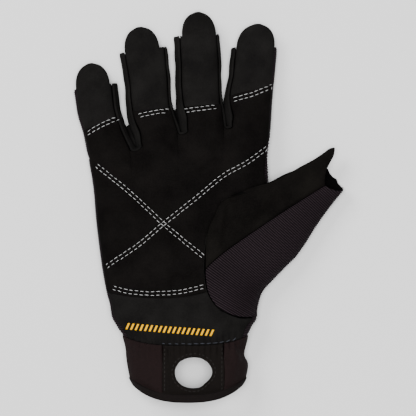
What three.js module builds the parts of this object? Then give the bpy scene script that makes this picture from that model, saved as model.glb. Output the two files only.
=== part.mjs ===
// Fingerless climbing glove for the right hand, lying on its back with the palm up.
// Millimetres, +Z up, +Y toward the fingers, +X toward the thumb.
import * as THREE from "three";
import { mergeVertices } from "three/addons/utils/BufferGeometryUtils.js";

// Driving dimensions
const gloveLength = 218;
const palmWidth = 100;
const sheetThickness = 1.1;
const overlayThickness = 0.9;
const edgeSkive = 0.5;
const seamGap = 0.3;
const thumbSeamGap = 1;
const wristClearance = 0.8;
const sideSeamInset = 1.3;
const tongueReach = 12.6;
const fingerEndHeight = 14;
const fingerRootHeight = 18.5;
const palmHeight = 26;
const wristHeight = 27;
const hemHeight = 33;
const sideHeight = 12;
const shoulderWidth = 30;
const undersideRound = 13;
const palmDent = 2.2;
const overlayInset = 2;
const tongueClearance = 0.9;
const thumbEndWidth = 24.6;
const thumbEndHeight = 17;
const thumbEndFloor = 3;
const thumbTongueReach = 10;
const thumbMound = 3.5;
const thumbHollow = 5.5;
const clipHoleWidth = 20.8;
const clipHoleHeight = 17.4;
const wristSag = 4.8;
const hemSag = 8.6;
const overlaySag = 3.4;
const tuckedSideHeight = 5.4;
const bindingHeight = 4.5;
const bindingThickness = 2.4;
const bindingProud = 0.5;
const bindingTaper = 2.4;
const thumbAim = 39.5;

// Places across the glove are shares of palmWidth from the middle line, places along it are
// shares of gloveLength from the lowest point of the hem.
const across = (share) => share * palmWidth;
const along = (share) => (share - 0.5) * gloveLength;

const leftEdge = [
  { up: 0.04, left: -0.43 },
  { up: 0.098, left: -0.451 },
  { up: 0.17, left: -0.482 },
  { up: 0.19, left: -0.513 },
  { up: 0.221, left: -0.551 },
  { up: 0.283, left: -0.573 },
  { up: 0.375, left: -0.601 },
  { up: 0.468, left: -0.628 },
  { up: 0.545, left: -0.642 },
  { up: 0.627, left: -0.672 },
];

// The hand's own right side, without the thumb.
const rightEdge = [
  { up: 0.04, right: 0.2 },
  { up: 0.098, right: 0.224 },
  { up: 0.129, right: 0.218 },
  { up: 0.17, right: 0.227 },
  { up: 0.216, right: 0.272 },
  { up: 0.4, right: 0.318 },
  { up: 0.566, right: 0.348 },
  { up: 0.622, right: 0.342 },
  { up: 0.694, right: 0.357 },
];

// Rungs cross the palm from the left side to the right one, which follows the thumb's seam
// from rung 0.2 to rung 0.9.
const palmRungs = [
  { rung: 0, leftUp: 0.627, rightUp: 0.694, right: 0.357 },
  { rung: 0.08, leftUp: 0.591, rightUp: 0.627, right: 0.343 },
  { rung: 0.15, leftUp: 0.555, rightUp: 0.586, right: 0.342 },
  { rung: 0.2, leftUp: 0.535, rightUp: 0.566, right: 0.348 },
  { rung: 0.26, leftUp: 0.519, rightUp: 0.548, right: 0.249 },
  { rung: 0.32, leftUp: 0.504, rightUp: 0.533, right: 0.16 },
  { rung: 0.38, leftUp: 0.488, rightUp: 0.515, right: 0.081 },
  { rung: 0.44, leftUp: 0.463, rightUp: 0.481, right: 0.045 },
  { rung: 0.51, leftUp: 0.422, rightUp: 0.437, right: 0.003 },
  { rung: 0.58, leftUp: 0.38, rightUp: 0.385, right: -0.014 },
  { rung: 0.65, leftUp: 0.342, rightUp: 0.342, right: -0.017 },
  { rung: 0.7, leftUp: 0.291, rightUp: 0.295, right: -0.006 },
  { rung: 0.77, leftUp: 0.252, rightUp: 0.247, right: 0.053 },
  { rung: 0.82, leftUp: 0.234, rightUp: 0.226, right: 0.132 },
  { rung: 0.86, leftUp: 0.224, rightUp: 0.218, right: 0.204 },
  { rung: 0.9, leftUp: 0.216, rightUp: 0.216, right: 0.272 },
  { rung: 0.95, leftUp: 0.194, rightUp: 0.194, right: 0.25 },
  { rung: 1, leftUp: 0.17, rightUp: 0.17, right: 0.227 },
];

// The back's right side is plain behind the thumb.
const backRungs = [
  { rung: 0, leftUp: 0.627, rightUp: 0.694, right: 0.357 },
  { rung: 0.1, leftUp: 0.581, rightUp: 0.622, right: 0.342 },
  { rung: 0.2, leftUp: 0.535, rightUp: 0.566, right: 0.348 },
  { rung: 0.32, leftUp: 0.488, rightUp: 0.519, right: 0.283 },
  { rung: 0.44, leftUp: 0.422, rightUp: 0.442, right: 0.227 },
  { rung: 0.58, leftUp: 0.355, rightUp: 0.365, right: 0.204 },
  { rung: 0.72, leftUp: 0.283, rightUp: 0.288, right: 0.221 },
  { rung: 0.9, leftUp: 0.216, rightUp: 0.216, right: 0.272 },
  { rung: 0.95, leftUp: 0.194, rightUp: 0.194, right: 0.25 },
  { rung: 1, leftUp: 0.17, rightUp: 0.17, right: 0.227 },
];
const thumbFirstRung = 0.2;
const thumbLastRung = 0.9;

// Each finger's two sides from its root to its open end. The tongue covers shares of the
// finger's width, each side's seam lies its own inset in from the outline, and the bar is the
// reach of the overlay's edge at both sides.
const fingers = [
  {
    name: "little",
    sides: [
      { reach: 0, left: -0.672, right: -0.404, leftUp: 0.627, rightUp: 0.653 },
      { reach: 0.33, left: -0.699, right: -0.458, leftUp: 0.686, rightUp: 0.708 },
      { reach: 0.66, left: -0.738, right: -0.493, leftUp: 0.744, rightUp: 0.763 },
      { reach: 1, left: -0.756, right: -0.508, leftUp: 0.805, rightUp: 0.821 },
    ],
    tongue: { from: 0.02, to: 0.85 },
    seams: { left: 1.3, right: 3 },
    bar: { left: 0.38, right: 0.49 },
  },
  {
    name: "ring",
    sides: [
      { reach: 0, left: -0.396, right: -0.152, leftUp: 0.653, rightUp: 0.695 },
      { reach: 0.33, left: -0.45, right: -0.194, leftUp: 0.733, rightUp: 0.768 },
      { reach: 0.66, left: -0.46, right: -0.204, leftUp: 0.814, rightUp: 0.841 },
      { reach: 1, left: -0.491, right: -0.223, leftUp: 0.897, rightUp: 0.915 },
    ],
    tongue: { from: 0.12, to: 0.85 },
    seams: { left: 3, right: 1.3 },
    bar: { left: 0.366, right: 0.27 },
  },
  {
    name: "middle",
    sides: [
      { reach: 0, left: -0.144, right: 0.105, leftUp: 0.695, rightUp: 0.71 },
      { reach: 0.33, left: -0.186, right: 0.081, leftUp: 0.776, rightUp: 0.788 },
      { reach: 0.66, left: -0.186, right: 0.077, leftUp: 0.857, rightUp: 0.866 },
      { reach: 1, left: -0.191, right: 0.064, leftUp: 0.94, rightUp: 0.947 },
    ],
    tongue: { from: 0.18, to: 0.95 },
    seams: { left: 3.4, right: 1.3 },
    bar: { left: 0.245, right: 0.235 },
  },
  {
    name: "index",
    sides: [
      { reach: 0, left: 0.113, right: 0.357, leftUp: 0.71, rightUp: 0.694 },
      { reach: 0.33, left: 0.092, right: 0.366, leftUp: 0.776, rightUp: 0.767 },
      { reach: 0.66, left: 0.118, right: 0.382, leftUp: 0.843, rightUp: 0.841 },
      { reach: 1, left: 0.132, right: 0.394, leftUp: 0.912, rightUp: 0.915 },
    ],
    tongue: { from: 0.13, to: 0.99 },
    seams: { left: 2.6, right: 1.3 },
    bar: { left: 0.374, right: 0.562 },
  },
];

const suede = new THREE.MeshStandardMaterial({ color: 0x191717, roughness: 0.92, metalness: 0 });
const wornSuede = new THREE.MeshStandardMaterial({ color: 0x1f1d1c, roughness: 0.92, metalness: 0 });
const ribKnit = new THREE.MeshStandardMaterial({ color: 0x231c1e, roughness: 0.95, metalness: 0 });
const wovenCloth = new THREE.MeshStandardMaterial({ color: 0x241e1c, roughness: 0.9, metalness: 0 });
const patchCloth = new THREE.MeshStandardMaterial({ color: 0x171a17, roughness: 0.85, metalness: 0 });
const tapeCloth = new THREE.MeshStandardMaterial({ color: 0x141313, roughness: 0.8, metalness: 0 });

const clamp = (value, low, high) => Math.min(high, Math.max(low, value));
const mix = (a, b, share) => a + (b - a) * share;
const smooth = (share) => {
  const s = clamp(share, 0, 1);
  return s * s * (3 - 2 * s);
};
const degrees = (angle) => (angle * Math.PI) / 180;

// A column of a table at any place between its rows, by a smooth curve through them.
function read(table, key, column, place) {
  const ordered = [...table].sort((a, b) => a[key] - b[key]);
  const last = ordered.length - 1;
  const at = clamp(place, ordered[0][key], ordered[last][key]);
  let i = 0;
  while (i < last - 1 && ordered[i + 1][key] < at) i += 1;
  const rise = (k) => (ordered[k + 1][column] - ordered[k][column]) / (ordered[k + 1][key] - ordered[k][key]);
  const slope = (k) => {
    if (k === 0 || k === last) return rise(Math.min(k, last - 1));
    const before = rise(k - 1);
    const after = rise(k);
    return before * after <= 0 ? 0 : (2 * before * after) / (before + after);
  };
  const step = ordered[i + 1][key] - ordered[i][key];
  const s = (at - ordered[i][key]) / step;
  const start = ordered[i][column];
  const end = ordered[i + 1][column];
  return start * (1 + 2 * s) * (1 - s) ** 2 + end * s * s * (3 - 2 * s)
    + step * (slope(i) * s * (1 - s) ** 2 - slope(i + 1) * s * s * (1 - s));
}

// Superellipse quarter: 0 at the edge, 1 from the given width on.
const quarter = (distance, width, power) => {
  const s = 1 - clamp(distance / width, 0, 1);
  return Math.max(0, 1 - s ** power) ** (1 / power);
};
const upperPower = 2.3;
const lowerPower = 3;
const flatCut = 0.4;
const fingerAimReach = 0.75;
const tonguePower = 2.1;
const tongueTip = 0.985;
const thumbLean = 1.15;

// Fineness of the grids
const fingerColumns = 5;
const palmSteps = 20;
const overlaySteps = 14;
const backSteps = 20;
const fingerSteps = 3;
const fourchetteSteps = 5;
const fourchetteBands = 4;
const backFingerSteps = 5;
const tongueSteps = 4;
const thumbSteps = 8;
const cuffSteps = 5;
const holeRings = 3;
const panelSideSteps = 6;
const bindingSteps = 20;
const rootFade = 0.24;
const rootLift = 0.08;
const hiddenColumnStep = 0.012;

const leftAt = (y) => across(read(leftEdge, "up", "left", y / gloveLength + 0.5));
const rightAt = (y) => across(read(rightEdge, "up", "right", y / gloveLength + 0.5));

// Height of the palm side's middle at a place along the glove.
const crestRows = [
  { up: 0, height: hemHeight },
  { up: 0.08, height: mix(wristHeight, hemHeight, 0.6) },
  { up: 0.17, height: wristHeight },
  { up: 0.3, height: palmHeight + 1 },
  { up: 0.5, height: palmHeight },
  { up: 0.62, height: mix(fingerRootHeight, palmHeight, 0.6) },
  { up: 0.7, height: fingerRootHeight + 1 },
];
const crestAt = (y) => read(crestRows, "up", "height", y / gloveLength + 0.5);

// Palm side of the hand part and cuff, over any place between its two sides.
function palmHeightAt(x, y) {
  const riseLeft = quarter(x - leftAt(y), shoulderWidth, upperPower);
  const riseRight = quarter(rightAt(y) - x, shoulderWidth, upperPower);
  const bowlX = (x - across(-0.2)) / across(0.3);
  const bowlY = (y - along(0.42)) / (0.14 * gloveLength);
  const bowl = palmDent * Math.exp(-bowlX * bowlX - bowlY * bowlY);
  return sideHeight + (crestAt(y) - sideHeight) * riseLeft * riseRight - bowl;
}

// Underside over the same places: round at both sides, flat between them.
const undersideAt = (left, right, x) => {
  const riseLeft = quarter(x - left, undersideRound, lowerPower);
  const rise = riseLeft * quarter(right - x, undersideRound, lowerPower);
  return Math.max(0, sideHeight * (1 - rise) - flatCut * rise);
};

const fingerSide = (finger, column, reach) => {
  const value = read(finger.sides, "reach", column, reach);
  return column.endsWith("Up") ? along(value) : across(value);
};

// One place round a finger. The angle starts at the right side and turns over the palm side.
function fingerPoint(finger, reach, angle) {
  const left = fingerSide(finger, "left", reach);
  const right = fingerSide(finger, "right", reach);
  const half = (right - left) / 2;
  const turn = degrees(angle);
  const cosine = Math.cos(turn);
  const sine = Math.sin(turn);
  const power = 2 / (sine >= 0 ? upperPower : lowerPower);
  const x = (left + right) / 2 + half * Math.sign(cosine) * Math.abs(cosine) ** power;
  const share = (x - left) / (right - left);
  const y = mix(fingerSide(finger, "leftUp", reach), fingerSide(finger, "rightUp", reach), share);
  const top = mix(fingerRootHeight, fingerEndHeight, reach);
  const wide = mix(sideHeight * 0.75, fingerEndHeight * 0.48, reach);
  const z = sine >= 0
    ? wide + (top - wide) * sine ** power
    : Math.max(0, wide * (1 - Math.abs(sine) ** power) - flatCut);
  return new THREE.Vector3(x, y, z);
}

// Angle at which a side's outline lies a given inset inside the widest place.
const insetAngle = (half, inset, power) => {
  const cosine = clamp(1 - inset / half, 0, 1) ** (power / 2);
  return (Math.acos(cosine) * 180) / Math.PI;
};

function fingerHalf(finger, reach) {
  return (fingerSide(finger, "right", reach) - fingerSide(finger, "left", reach)) / 2;
}
const lowerSeamInset = 2;

// Angles of the four seams round a finger, with the part of the gap that each piece gives up.
function seamAngles(finger, reach, giveUp) {
  const half = fingerHalf(finger, reach);
  const inner = { left: finger.name !== "little", right: finger.name !== "index" };
  return {
    palmRight: insetAngle(half, finger.seams.right + giveUp, upperPower),
    palmLeft: 180 - insetAngle(half, finger.seams.left + giveUp, upperPower),
    backRight: inner.right
      ? -insetAngle(half, lowerSeamInset + giveUp, lowerPower)
      : insetAngle(half, Math.max(0.05, finger.seams.right - giveUp), upperPower),
    backLeft: inner.left
      ? -180 + insetAngle(half, lowerSeamInset + giveUp, lowerPower)
      : -180 - insetAngle(half, Math.max(0.05, finger.seams.left - giveUp), upperPower),
  };
}

// Collects grid patches into one open surface.
function openSurface() {
  const points = [];
  const faces = [];
  const addGrid = (rows) => {
    const start = points.length;
    const columns = rows[0].length;
    rows.forEach((row) => points.push(...row));
    for (let r = 0; r + 1 < rows.length; r += 1) {
      for (let c = 0; c + 1 < columns; c += 1) {
        const a = start + r * columns + c;
        const b = a + 1;
        const d = a + columns;
        const e = d + 1;
        faces.push([a, b, e], [a, e, d]);
      }
    }
  };
  return { points, faces, addGrid };
}

const positionsOf = (points) => new THREE.Float32BufferAttribute(points.flatMap((p) => p.toArray()), 3);

// Merges points that coincide and drops faces that collapse.
function weld(surface) {
  const geometry = new THREE.BufferGeometry();
  geometry.setAttribute("position", positionsOf(surface.points));
  geometry.setIndex(surface.faces.flat());
  const merged = mergeVertices(geometry, 0.01);
  const position = merged.getAttribute("position");
  const pointAt = (_, i) => new THREE.Vector3().fromBufferAttribute(position, i);
  const points = Array.from({ length: position.count }, pointAt);
  const index = Array.from(merged.index.array);
  const faces = [];
  for (let i = 0; i < index.length; i += 3) {
    const [a, b, c] = index.slice(i, i + 3);
    if (a !== b && b !== c && a !== c) faces.push([a, b, c]);
  }
  return { points, faces };
}

function vertexNormals({ points, faces }) {
  const normals = points.map(() => new THREE.Vector3());
  const edgeA = new THREE.Vector3();
  const edgeB = new THREE.Vector3();
  faces.forEach(([a, b, c]) => {
    edgeA.subVectors(points[b], points[a]);
    edgeB.subVectors(points[c], points[a]);
    edgeA.cross(edgeB);
    [a, b, c].forEach((i) => normals[i].add(edgeA));
  });
  return normals.map((n) => n.normalize());
}

// A sheet of even thickness whose outer side is the given surface. A layer on top of another
// sheet is raised by lift along that sheet's own normals.
function sheet(surface, thickness, lift = 0, under = surface) {
  const { points, faces } = weld(surface);
  const base = weld(under);
  const baseNormals = vertexNormals(base);
  const place = (p) => p.toArray().map((value) => Math.round(value * 50)).join(",");
  const normalAt = new Map(base.points.map((p, i) => [place(p), baseNormals[i]]));
  const normals = points.map((p) => normalAt.get(place(p)));
  const outer = points.map((p, i) => p.clone().addScaledVector(normals[i], lift));
  const edges = new Map();
  faces.forEach(([a, b, c]) => {
    [[a, b], [b, c], [c, a]].forEach(([from, to]) => edges.set(`${from},${to}`, [from, to]));
  });
  const rim = [...edges.values()].filter(([from, to]) => !edges.has(`${to},${from}`));
  const skive = points.map(() => new THREE.Vector3());
  rim.forEach(([from, to]) => {
    const run = points[to].clone().sub(points[from]);
    [from, to].forEach((i) => skive[i].add(normals[i].clone().cross(run).normalize()));
  });
  const inner = outer.map((p, i) => p.clone().addScaledVector(normals[i], -thickness)
    .addScaledVector(skive[i].normalize(), edgeSkive));
  const count = points.length;
  const index = faces.flat();
  faces.forEach(([a, b, c]) => index.push(count + a, count + c, count + b));
  rim.forEach(([from, to]) => index.push(to, from, count + from, to, count + from, count + to));
  const geometry = new THREE.BufferGeometry();
  geometry.setAttribute("position", positionsOf([...outer, ...inner]));
  geometry.setIndex(index);
  return geometry;
}

// Even steps from one value to another, both included.
const steps = (from, to, count) => Array.from({ length: count + 1 }, (_, i) => mix(from, to, i / count));

// One place round the crotch between two fingers. The turn runs from the left finger's right
// side at 0 to the right finger's left side at 1, and the two sides may have their own insets.
function crotchPoint(leftFinger, rightFinger, leftPlace, rightPlace, turn) {
  const centreX = (fingerSide(leftFinger, "right", 0) + fingerSide(rightFinger, "left", 0)) / 2;
  const side = (1 - Math.cos(turn * Math.PI)) / 2;
  const radius = mix(centreX - leftPlace.x, rightPlace.x - centreX, side);
  return new THREE.Vector3(
    mix(leftPlace.x, rightPlace.x, side),
    mix(leftPlace.y, rightPlace.y, side) - radius * Math.sin(turn * Math.PI),
    mix(leftPlace.z, rightPlace.z, side),
  );
}

const crotchTurns = [0.25, 0.5, 0.75];
const halfGap = seamGap / 2;

// The glove's long seams: where the hand part meets the cuff, and the hem, at a place across.
const wristLine = along(0.17);
const hemLine = along(0.065);
const bow = (x, y, power) => 1 - Math.abs((2 * (x - leftAt(y))) / (rightAt(y) - leftAt(y)) - 1) ** power;
const wristSeamAt = (x) => wristLine - wristSag * clamp(bow(x, wristLine, 3), 0, 1);
const hemSeamAt = (x) => hemLine - hemSag * clamp(bow(x, hemLine, 2.5), 0, 1);

// Reach of one of a finger's columns on a row: row 0 is the root and row 1 the overlay's bar.
function columnReach(finger, row, column) {
  const bar = mix(finger.bar.left, finger.bar.right, column / fingerColumns);
  return row === 0 ? 0 : mix(bar, 1, (row - 1) / fingerSteps);
}

// Angles across a finger's palm side: the seams, a column in from each, and even columns
// between. The columns next to the seams lie the overlay's inset in as far as the bar, and run
// on to the tongue's two sides.
function palmAngles(finger, reach) {
  const { palmRight, palmLeft } = seamAngles(finger, reach, halfGap);
  const half = fingerHalf(finger, reach);
  const past = smooth((reach - (finger.bar.left + finger.bar.right) / 2) / (1 - finger.bar.left));
  const tongueLeft = Math.max(2 * half * finger.tongue.from, finger.seams.left + tongueClearance);
  const tongueRight = Math.max(2 * half * (1 - finger.tongue.to), finger.seams.right + tongueClearance);
  const insetLeft = mix(finger.seams.left + overlayInset, tongueLeft, past);
  const insetRight = mix(finger.seams.right + overlayInset, tongueRight, past);
  const innerLeft = 180 - insetAngle(half, insetLeft, upperPower);
  const innerRight = insetAngle(half, insetRight, upperPower);
  return [palmLeft, ...steps(innerLeft, innerRight, fingerColumns - 2), palmRight];
}

// Tongue beyond a finger's end: rows whose width shrinks along a superellipse.
function tongueRows(baseRow, forward) {
  const middle = baseRow[0].clone().lerp(baseRow[baseRow.length - 1], 0.5);
  return steps(0, 1, tongueSteps).map((place) => {
    const share = tongueTip * Math.sin((place * Math.PI) / 2);
    const narrow = (1 - share ** tonguePower) ** (1 / tonguePower);
    return baseRow.map((p) => {
      const point = new THREE.Vector3(mix(middle.x, p.x, narrow), mix(middle.y, p.y, narrow), p.z);
      return point.addScaledVector(forward, tongueReach * share);
    });
  });
}

// Rows of a finger's palm side from its root to its end, with one row at the overlay's bar.
const fingerRows = fingers.map((finger) => steps(0, fingerSteps + 1, fingerSteps + 1).map((row) =>
  steps(0, fingerColumns, fingerColumns).map((column) => {
    const reach = columnReach(finger, row, column);
    return fingerPoint(finger, reach, palmAngles(finger, reach)[column]);
  })));

// A place on the right side of a rung, moved off the seam there by a distance.
function rungRight(table, rung, distance) {
  const placeAt = (r) => new THREE.Vector2(
    across(read(table, "rung", "right", r)),
    along(read(table, "rung", "rightUp", r)),
  );
  const run = placeAt(Math.min(1, rung + 0.01)).sub(placeAt(Math.max(0, rung - 0.01))).normalize();
  return placeAt(rung).add(new THREE.Vector2(-run.y, run.x).multiplyScalar(distance));
}

// How far a rung has taken on the wrist seam's curve, over the last curveReach of the rungs.
const curveReach = 0.2;
const wristCurve = (x, rung) =>
  (wristLine - wristSeamAt(x) - halfGap) * smooth((rung - 1 + curveReach) / curveReach);

// How much of the overlay's lower curve a rung shows: all of it at the overlay's own end.
const overlayEnd = overlaySteps / palmSteps;
const overlayCurveAt = (rung) =>
  smooth((rung - overlayEnd + curveReach) / curveReach) * (1 - smooth((rung - overlayEnd) / (1 - overlayEnd)));

// Rows of the palm from the fingers' roots and crotches down to the cuff's seam.
function palmRows() {
  const topRow = [];
  fingers.forEach((finger, k) => {
    const root = fingerRows[k][0];
    topRow.push(...root);
    if (k === fingers.length - 1) return;
    const next = fingerRows[k + 1][0][0];
    crotchTurns.forEach((turn) => {
      topRow.push(crotchPoint(finger, fingers[k + 1], root[fingerColumns], next, turn));
    });
  });
  const last = topRow.length - 1;
  const halfStep = 0.5 / palmSteps;
  const reachAcross = topRow[last - 1].x - topRow[1].x;
  const shares = topRow.map((p) => clamp((p.x - topRow[1].x) / reachAcross, 0, 1));
  const rows = steps(0, 1, palmSteps).slice(1).map((rung) => {
    const leftY = along(read(palmRungs, "rung", "leftUp", rung));
    const atThumb = rung > thumbFirstRung + halfStep && rung < thumbLastRung - halfStep;
    const leftX = leftAt(leftY) + sideSeamInset + halfGap;
    const insideRight = (distance) => (atThumb
      ? rungRight(palmRungs, rung, -distance)
      : rungRight(palmRungs, rung, 0).sub(new THREE.Vector2(distance + sideSeamInset, 0)));
    const edge = insideRight(halfGap);
    const inner = insideRight(halfGap + overlayInset);
    return shares.map((share, i) => {
      const between = mix(leftX + overlayInset, inner.x, share);
      const x = i === 0 ? leftX : i === last ? edge.x : between;
      const bend = topRow[i].y - mix(topRow[0].y, topRow[last].y, share);
      const curve = overlaySag * (1 - (2 * share - 1) ** 2) * overlayCurveAt(rung);
      const straight = i === last ? edge.y : mix(leftY, inner.y, share);
      const y = straight + bend * (1 - smooth(rung / rootFade)) - curve - wristCurve(x, rung);
      const z = mix(topRow[i].z, palmHeightAt(x, y), smooth(rung / rootFade + rootLift));
      return new THREE.Vector3(x, y, z);
    });
  });
  return [topRow, ...rows];
}

const handRows = palmRows();

function palmPanelSurface() {
  const surface = openSurface();
  surface.addGrid([...handRows].reverse());
  fingers.forEach((finger, k) => {
    const rows = fingerRows[k];
    surface.addGrid(rows);
    const end = rows[rows.length - 1];
    const half = fingerHalf(finger, 1);
    const fromSeam = 2 * half * finger.tongue.from < finger.seams.left;
    const toSeam = 2 * half * (1 - finger.tongue.to) < finger.seams.right;
    const first = fromSeam ? 0 : 1;
    const last = toSeam ? fingerColumns : fingerColumns - 1;
    const forward = fingerPoint(finger, 1, 90).sub(fingerPoint(finger, fingerAimReach, 90));
    forward.setZ(0).normalize();
    surface.addGrid(tongueRows(end.slice(first, last + 1), forward));
  });
  return surface;
}

// The overlay lies on the palm's own grid, one column in from its edges, and reaches up each
// finger to its bar.
function overlaySurface() {
  const surface = openSurface();
  const lastColumn = handRows[0].length - 2;
  surface.addGrid(handRows.slice(1, overlaySteps + 1).map((row) => row.slice(1, lastColumn + 1)).reverse());
  fingers.forEach((_, k) => {
    const start = k * (fingerColumns + 1 + crotchTurns.length) + 1;
    const rootRows = handRows.slice(0, 2).map((row) => row.slice(start, start + fingerColumns - 1));
    surface.addGrid(rootRows.reverse());
    surface.addGrid(fingerRows[k].slice(0, 2).map((row) => row.slice(1, fingerColumns)));
  });
  return surface;
}

const palmSurface = palmPanelSurface();
const palmPanel = sheet(palmSurface, sheetThickness);
const palmOverlay = sheet(overlaySurface(), overlayThickness, seamGap + overlayThickness, palmSurface);

// Strip that lines the gap between two fingers, from the palm's seam to the back's seam.
function fourchette(leftFinger, rightFinger) {
  const surface = openSurface();
  const bands = steps(0, 1, fourchetteBands);
  const reaches = steps(1, 0, fourchetteSteps);
  const leftSide = (reach, band) => {
    const seams = seamAngles(leftFinger, reach, -halfGap);
    return fingerPoint(leftFinger, reach, mix(seams.palmRight, seams.backRight, band));
  };
  const rightSide = (reach, band) => {
    const seams = seamAngles(rightFinger, reach, -halfGap);
    return fingerPoint(rightFinger, reach, mix(seams.palmLeft, 360 + seams.backLeft, band));
  };
  const rows = [
    ...reaches.map((reach) => bands.map((band) => leftSide(reach, band))),
    ...crotchTurns.map((turn) => bands.map((band) =>
      crotchPoint(leftFinger, rightFinger, leftSide(0, band), rightSide(0, band), turn))),
    ...[...reaches].reverse().map((reach) => bands.map((band) => rightSide(reach, band))),
  ];
  surface.addGrid(rows.reverse());
  return sheet(surface, sheetThickness);
}

// How much of the back's right side lies behind the thumb at a rung.
const behindThumb = (rung) => smooth((rung - thumbFirstRung) / 0.08) * smooth((thumbLastRung - rung) / 0.08);

// Angles of the back's columns up from the widest place, and of the two under each finger.
const turnedIn = [0, 20, 40];
const underAngle = 62;

// Back of the hand: finger backs, the flat back and the two wrapped sides.
function backPanelSurface() {
  const surface = openSurface();
  const topRow = [];
  const anglesAt = (finger, reach) => {
    const seams = seamAngles(finger, reach, halfGap);
    const left = finger.name === "little"
      ? [seams.backLeft, ...turnedIn.map((a) => a - 180)]
      : [seams.backLeft];
    const right = finger.name === "index"
      ? [...turnedIn.map((a) => -a).reverse(), seams.backRight]
      : [seams.backRight];
    return [...left, underAngle - 180, -underAngle, ...right];
  };
  fingers.forEach((finger, k) => {
    const rows = steps(0, 1, backFingerSteps).map((reach) =>
      anglesAt(finger, reach).map((angle) => fingerPoint(finger, reach, angle)));
    surface.addGrid([...rows].reverse());
    const root = rows[0];
    topRow.push(...root);
    if (k === fingers.length - 1) return;
    const nextFinger = fingers[k + 1];
    const next = fingerPoint(nextFinger, 0, anglesAt(nextFinger, 0)[0]);
    crotchTurns.forEach((turn) => {
      topRow.push(crotchPoint(finger, nextFinger, root[root.length - 1], next, turn));
    });
  });
  const last = topRow.length - 1;
  const leftMost = topRow[1].x;
  const rightMost = topRow[last - 1].x;
  const rows = steps(0, 1, backSteps).slice(1).map((rung) => {
    const leftY = along(read(backRungs, "rung", "leftUp", rung));
    const hidden = behindThumb(rung);
    const leftX = leftAt(leftY);
    const { x: rightX, y: rightY } = rungRight(backRungs, rung, hidden > 0 ? -halfGap : 0);
    const settled = smooth(rung / rootFade);
    return topRow.map((p, i) => {
      const flatShare = 1 - (last - i) * hiddenColumnStep;
      const ownShare = (p.x - leftMost) / (rightMost - leftMost);
      const share = i > last - 4 ? mix(ownShare, flatShare, hidden) : ownShare;
      const inset = i === 0 ? sideSeamInset - halfGap : 0;
      const outset = i === last ? (sideSeamInset - halfGap) * (1 - hidden) : 0;
      const spread = i === last ? 1 : share;
      const x = mix(leftX, rightX, i === 0 ? 0 : spread) + inset - outset;
      const bend = p.y - mix(topRow[1].y, topRow[last - 1].y, share);
      const y = mix(leftY, rightY, share) + bend * (1 - settled) - wristCurve(x, rung);
      const fromSide = Math.min(i, last - i);
      const sideHeights = [palmHeightAt(x, y), sideHeight, tuckedSideHeight];
      const height = fromSide < sideHeights.length ? sideHeights[fromSide] : undersideAt(leftX, rightX, x);
      const z = mix(p.z, height * (1 - (i > last / 2 ? hidden : 0)), settled);
      return new THREE.Vector3(x, y, z);
    });
  });
  surface.addGrid([topRow, ...rows]);
  return surface;
}

const thumbAxis = new THREE.Vector3(Math.cos(degrees(thumbAim)), Math.sin(degrees(thumbAim)), 0);
const thumbAcross = new THREE.Vector3(-thumbAxis.y, thumbAxis.x, 0);

// How far the thumb's rim lies past its end plane at an angle round it: the tongue on the suede
// side, and the cut-back rib above the opening.
const thumbRim = [
  { angle: -180, past: 0 },
  { angle: 0, past: 0 },
  { angle: 40, past: -0.39 },
  { angle: 76, past: -0.72 },
  { angle: 103, past: -0.19 },
  { angle: 125, past: 0.8 },
  { angle: 145, past: 1.08 },
  { angle: 163, past: 1 },
  { angle: 180, past: 0.7 },
  { angle: 196, past: 0 },
];

const thumbEndPlace = { x: 0.689, up: 0.589 };

function thumbEndPoint(angle) {
  const turn = degrees(angle);
  const sine = Math.sin(turn);
  const power = 2 / upperPower;
  const middle = mix(thumbEndFloor, thumbEndHeight, 0.5);
  const half = (thumbEndHeight - thumbEndFloor) / 2;
  const cosine = Math.cos(turn);
  const wide = Math.sign(cosine) * Math.abs(cosine) ** power;
  const z = middle + half * Math.sign(sine) * Math.abs(sine) ** power;
  return new THREE.Vector3(across(thumbEndPlace.x), along(thumbEndPlace.up), z)
    .addScaledVector(thumbAcross, (-wide * thumbEndWidth) / 2)
    .addScaledVector(thumbAxis, thumbTongueReach * read(thumbRim, "angle", "past", angle));
}

// The thumb's base stands off the seam, and a little more where it closes at the wrist.
const thumbClearance = (rung) =>
  thumbSeamGap - halfGap + wristClearance * smooth((rung - thumbLastRung + 0.1) / 0.1);

// Base of the thumb on the palm's seam, at a rung between the crotch and the wrist.
function thumbPalmBase(rung) {
  const { x, y } = rungRight(palmRungs, rung, thumbClearance(rung));
  return new THREE.Vector3(x, y, palmHeightAt(x, y));
}

// Base of the thumb on the back's hidden seam, at the same rungs.
function thumbBackBase(rung) {
  const { x, y } = rungRight(backRungs, rung, thumbClearance(rung));
  return new THREE.Vector3(x, y, sideHeight * (1 - behindThumb(rung)));
}

// The thumb's outer side is hollow above its base: place and width in shares of its length.
const hollowPlace = 0.24;
const hollowWidth = 0.16;

// Columns of the thumb: a base point and the angle that it runs to at the end.
function thumbColumn(base, angle) {
  const end = thumbEndPoint(angle);
  const upward = Math.max(0, Math.sin(degrees(angle)));
  const outer = Math.max(0, Math.cos(degrees(angle))) ** 2;
  return steps(0, 1, thumbSteps).map((share) => {
    const point = base.clone().lerp(end, share);
    const hollow = Math.exp(-(((share - hollowPlace) / hollowWidth) ** 2)) * smooth(share / hollowPlace);
    point.x = mix(base.x, end.x, share ** thumbLean) - thumbHollow * outer * hollow;
    if (upward > 0) point.z += thumbMound * upward * Math.sin(Math.PI * share);
    else point.z = mix(base.z, end.z, base.z > end.z ? share : smooth(share * 2 - 1));
    return point;
  });
}

const splitRung = 0.65;
const farRung = 0.25;
const splitAngle = 76;
const farAngle = 194;
const rungShare = (rung, from, to) => (rung - from) / (to - from);
const rungList = (from, to) => steps(from, to, Math.round(Math.abs(to - from) * palmSteps));

const shifted = (column, distance) => column.map((p) => p.clone().addScaledVector(thumbAcross, distance));

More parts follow.
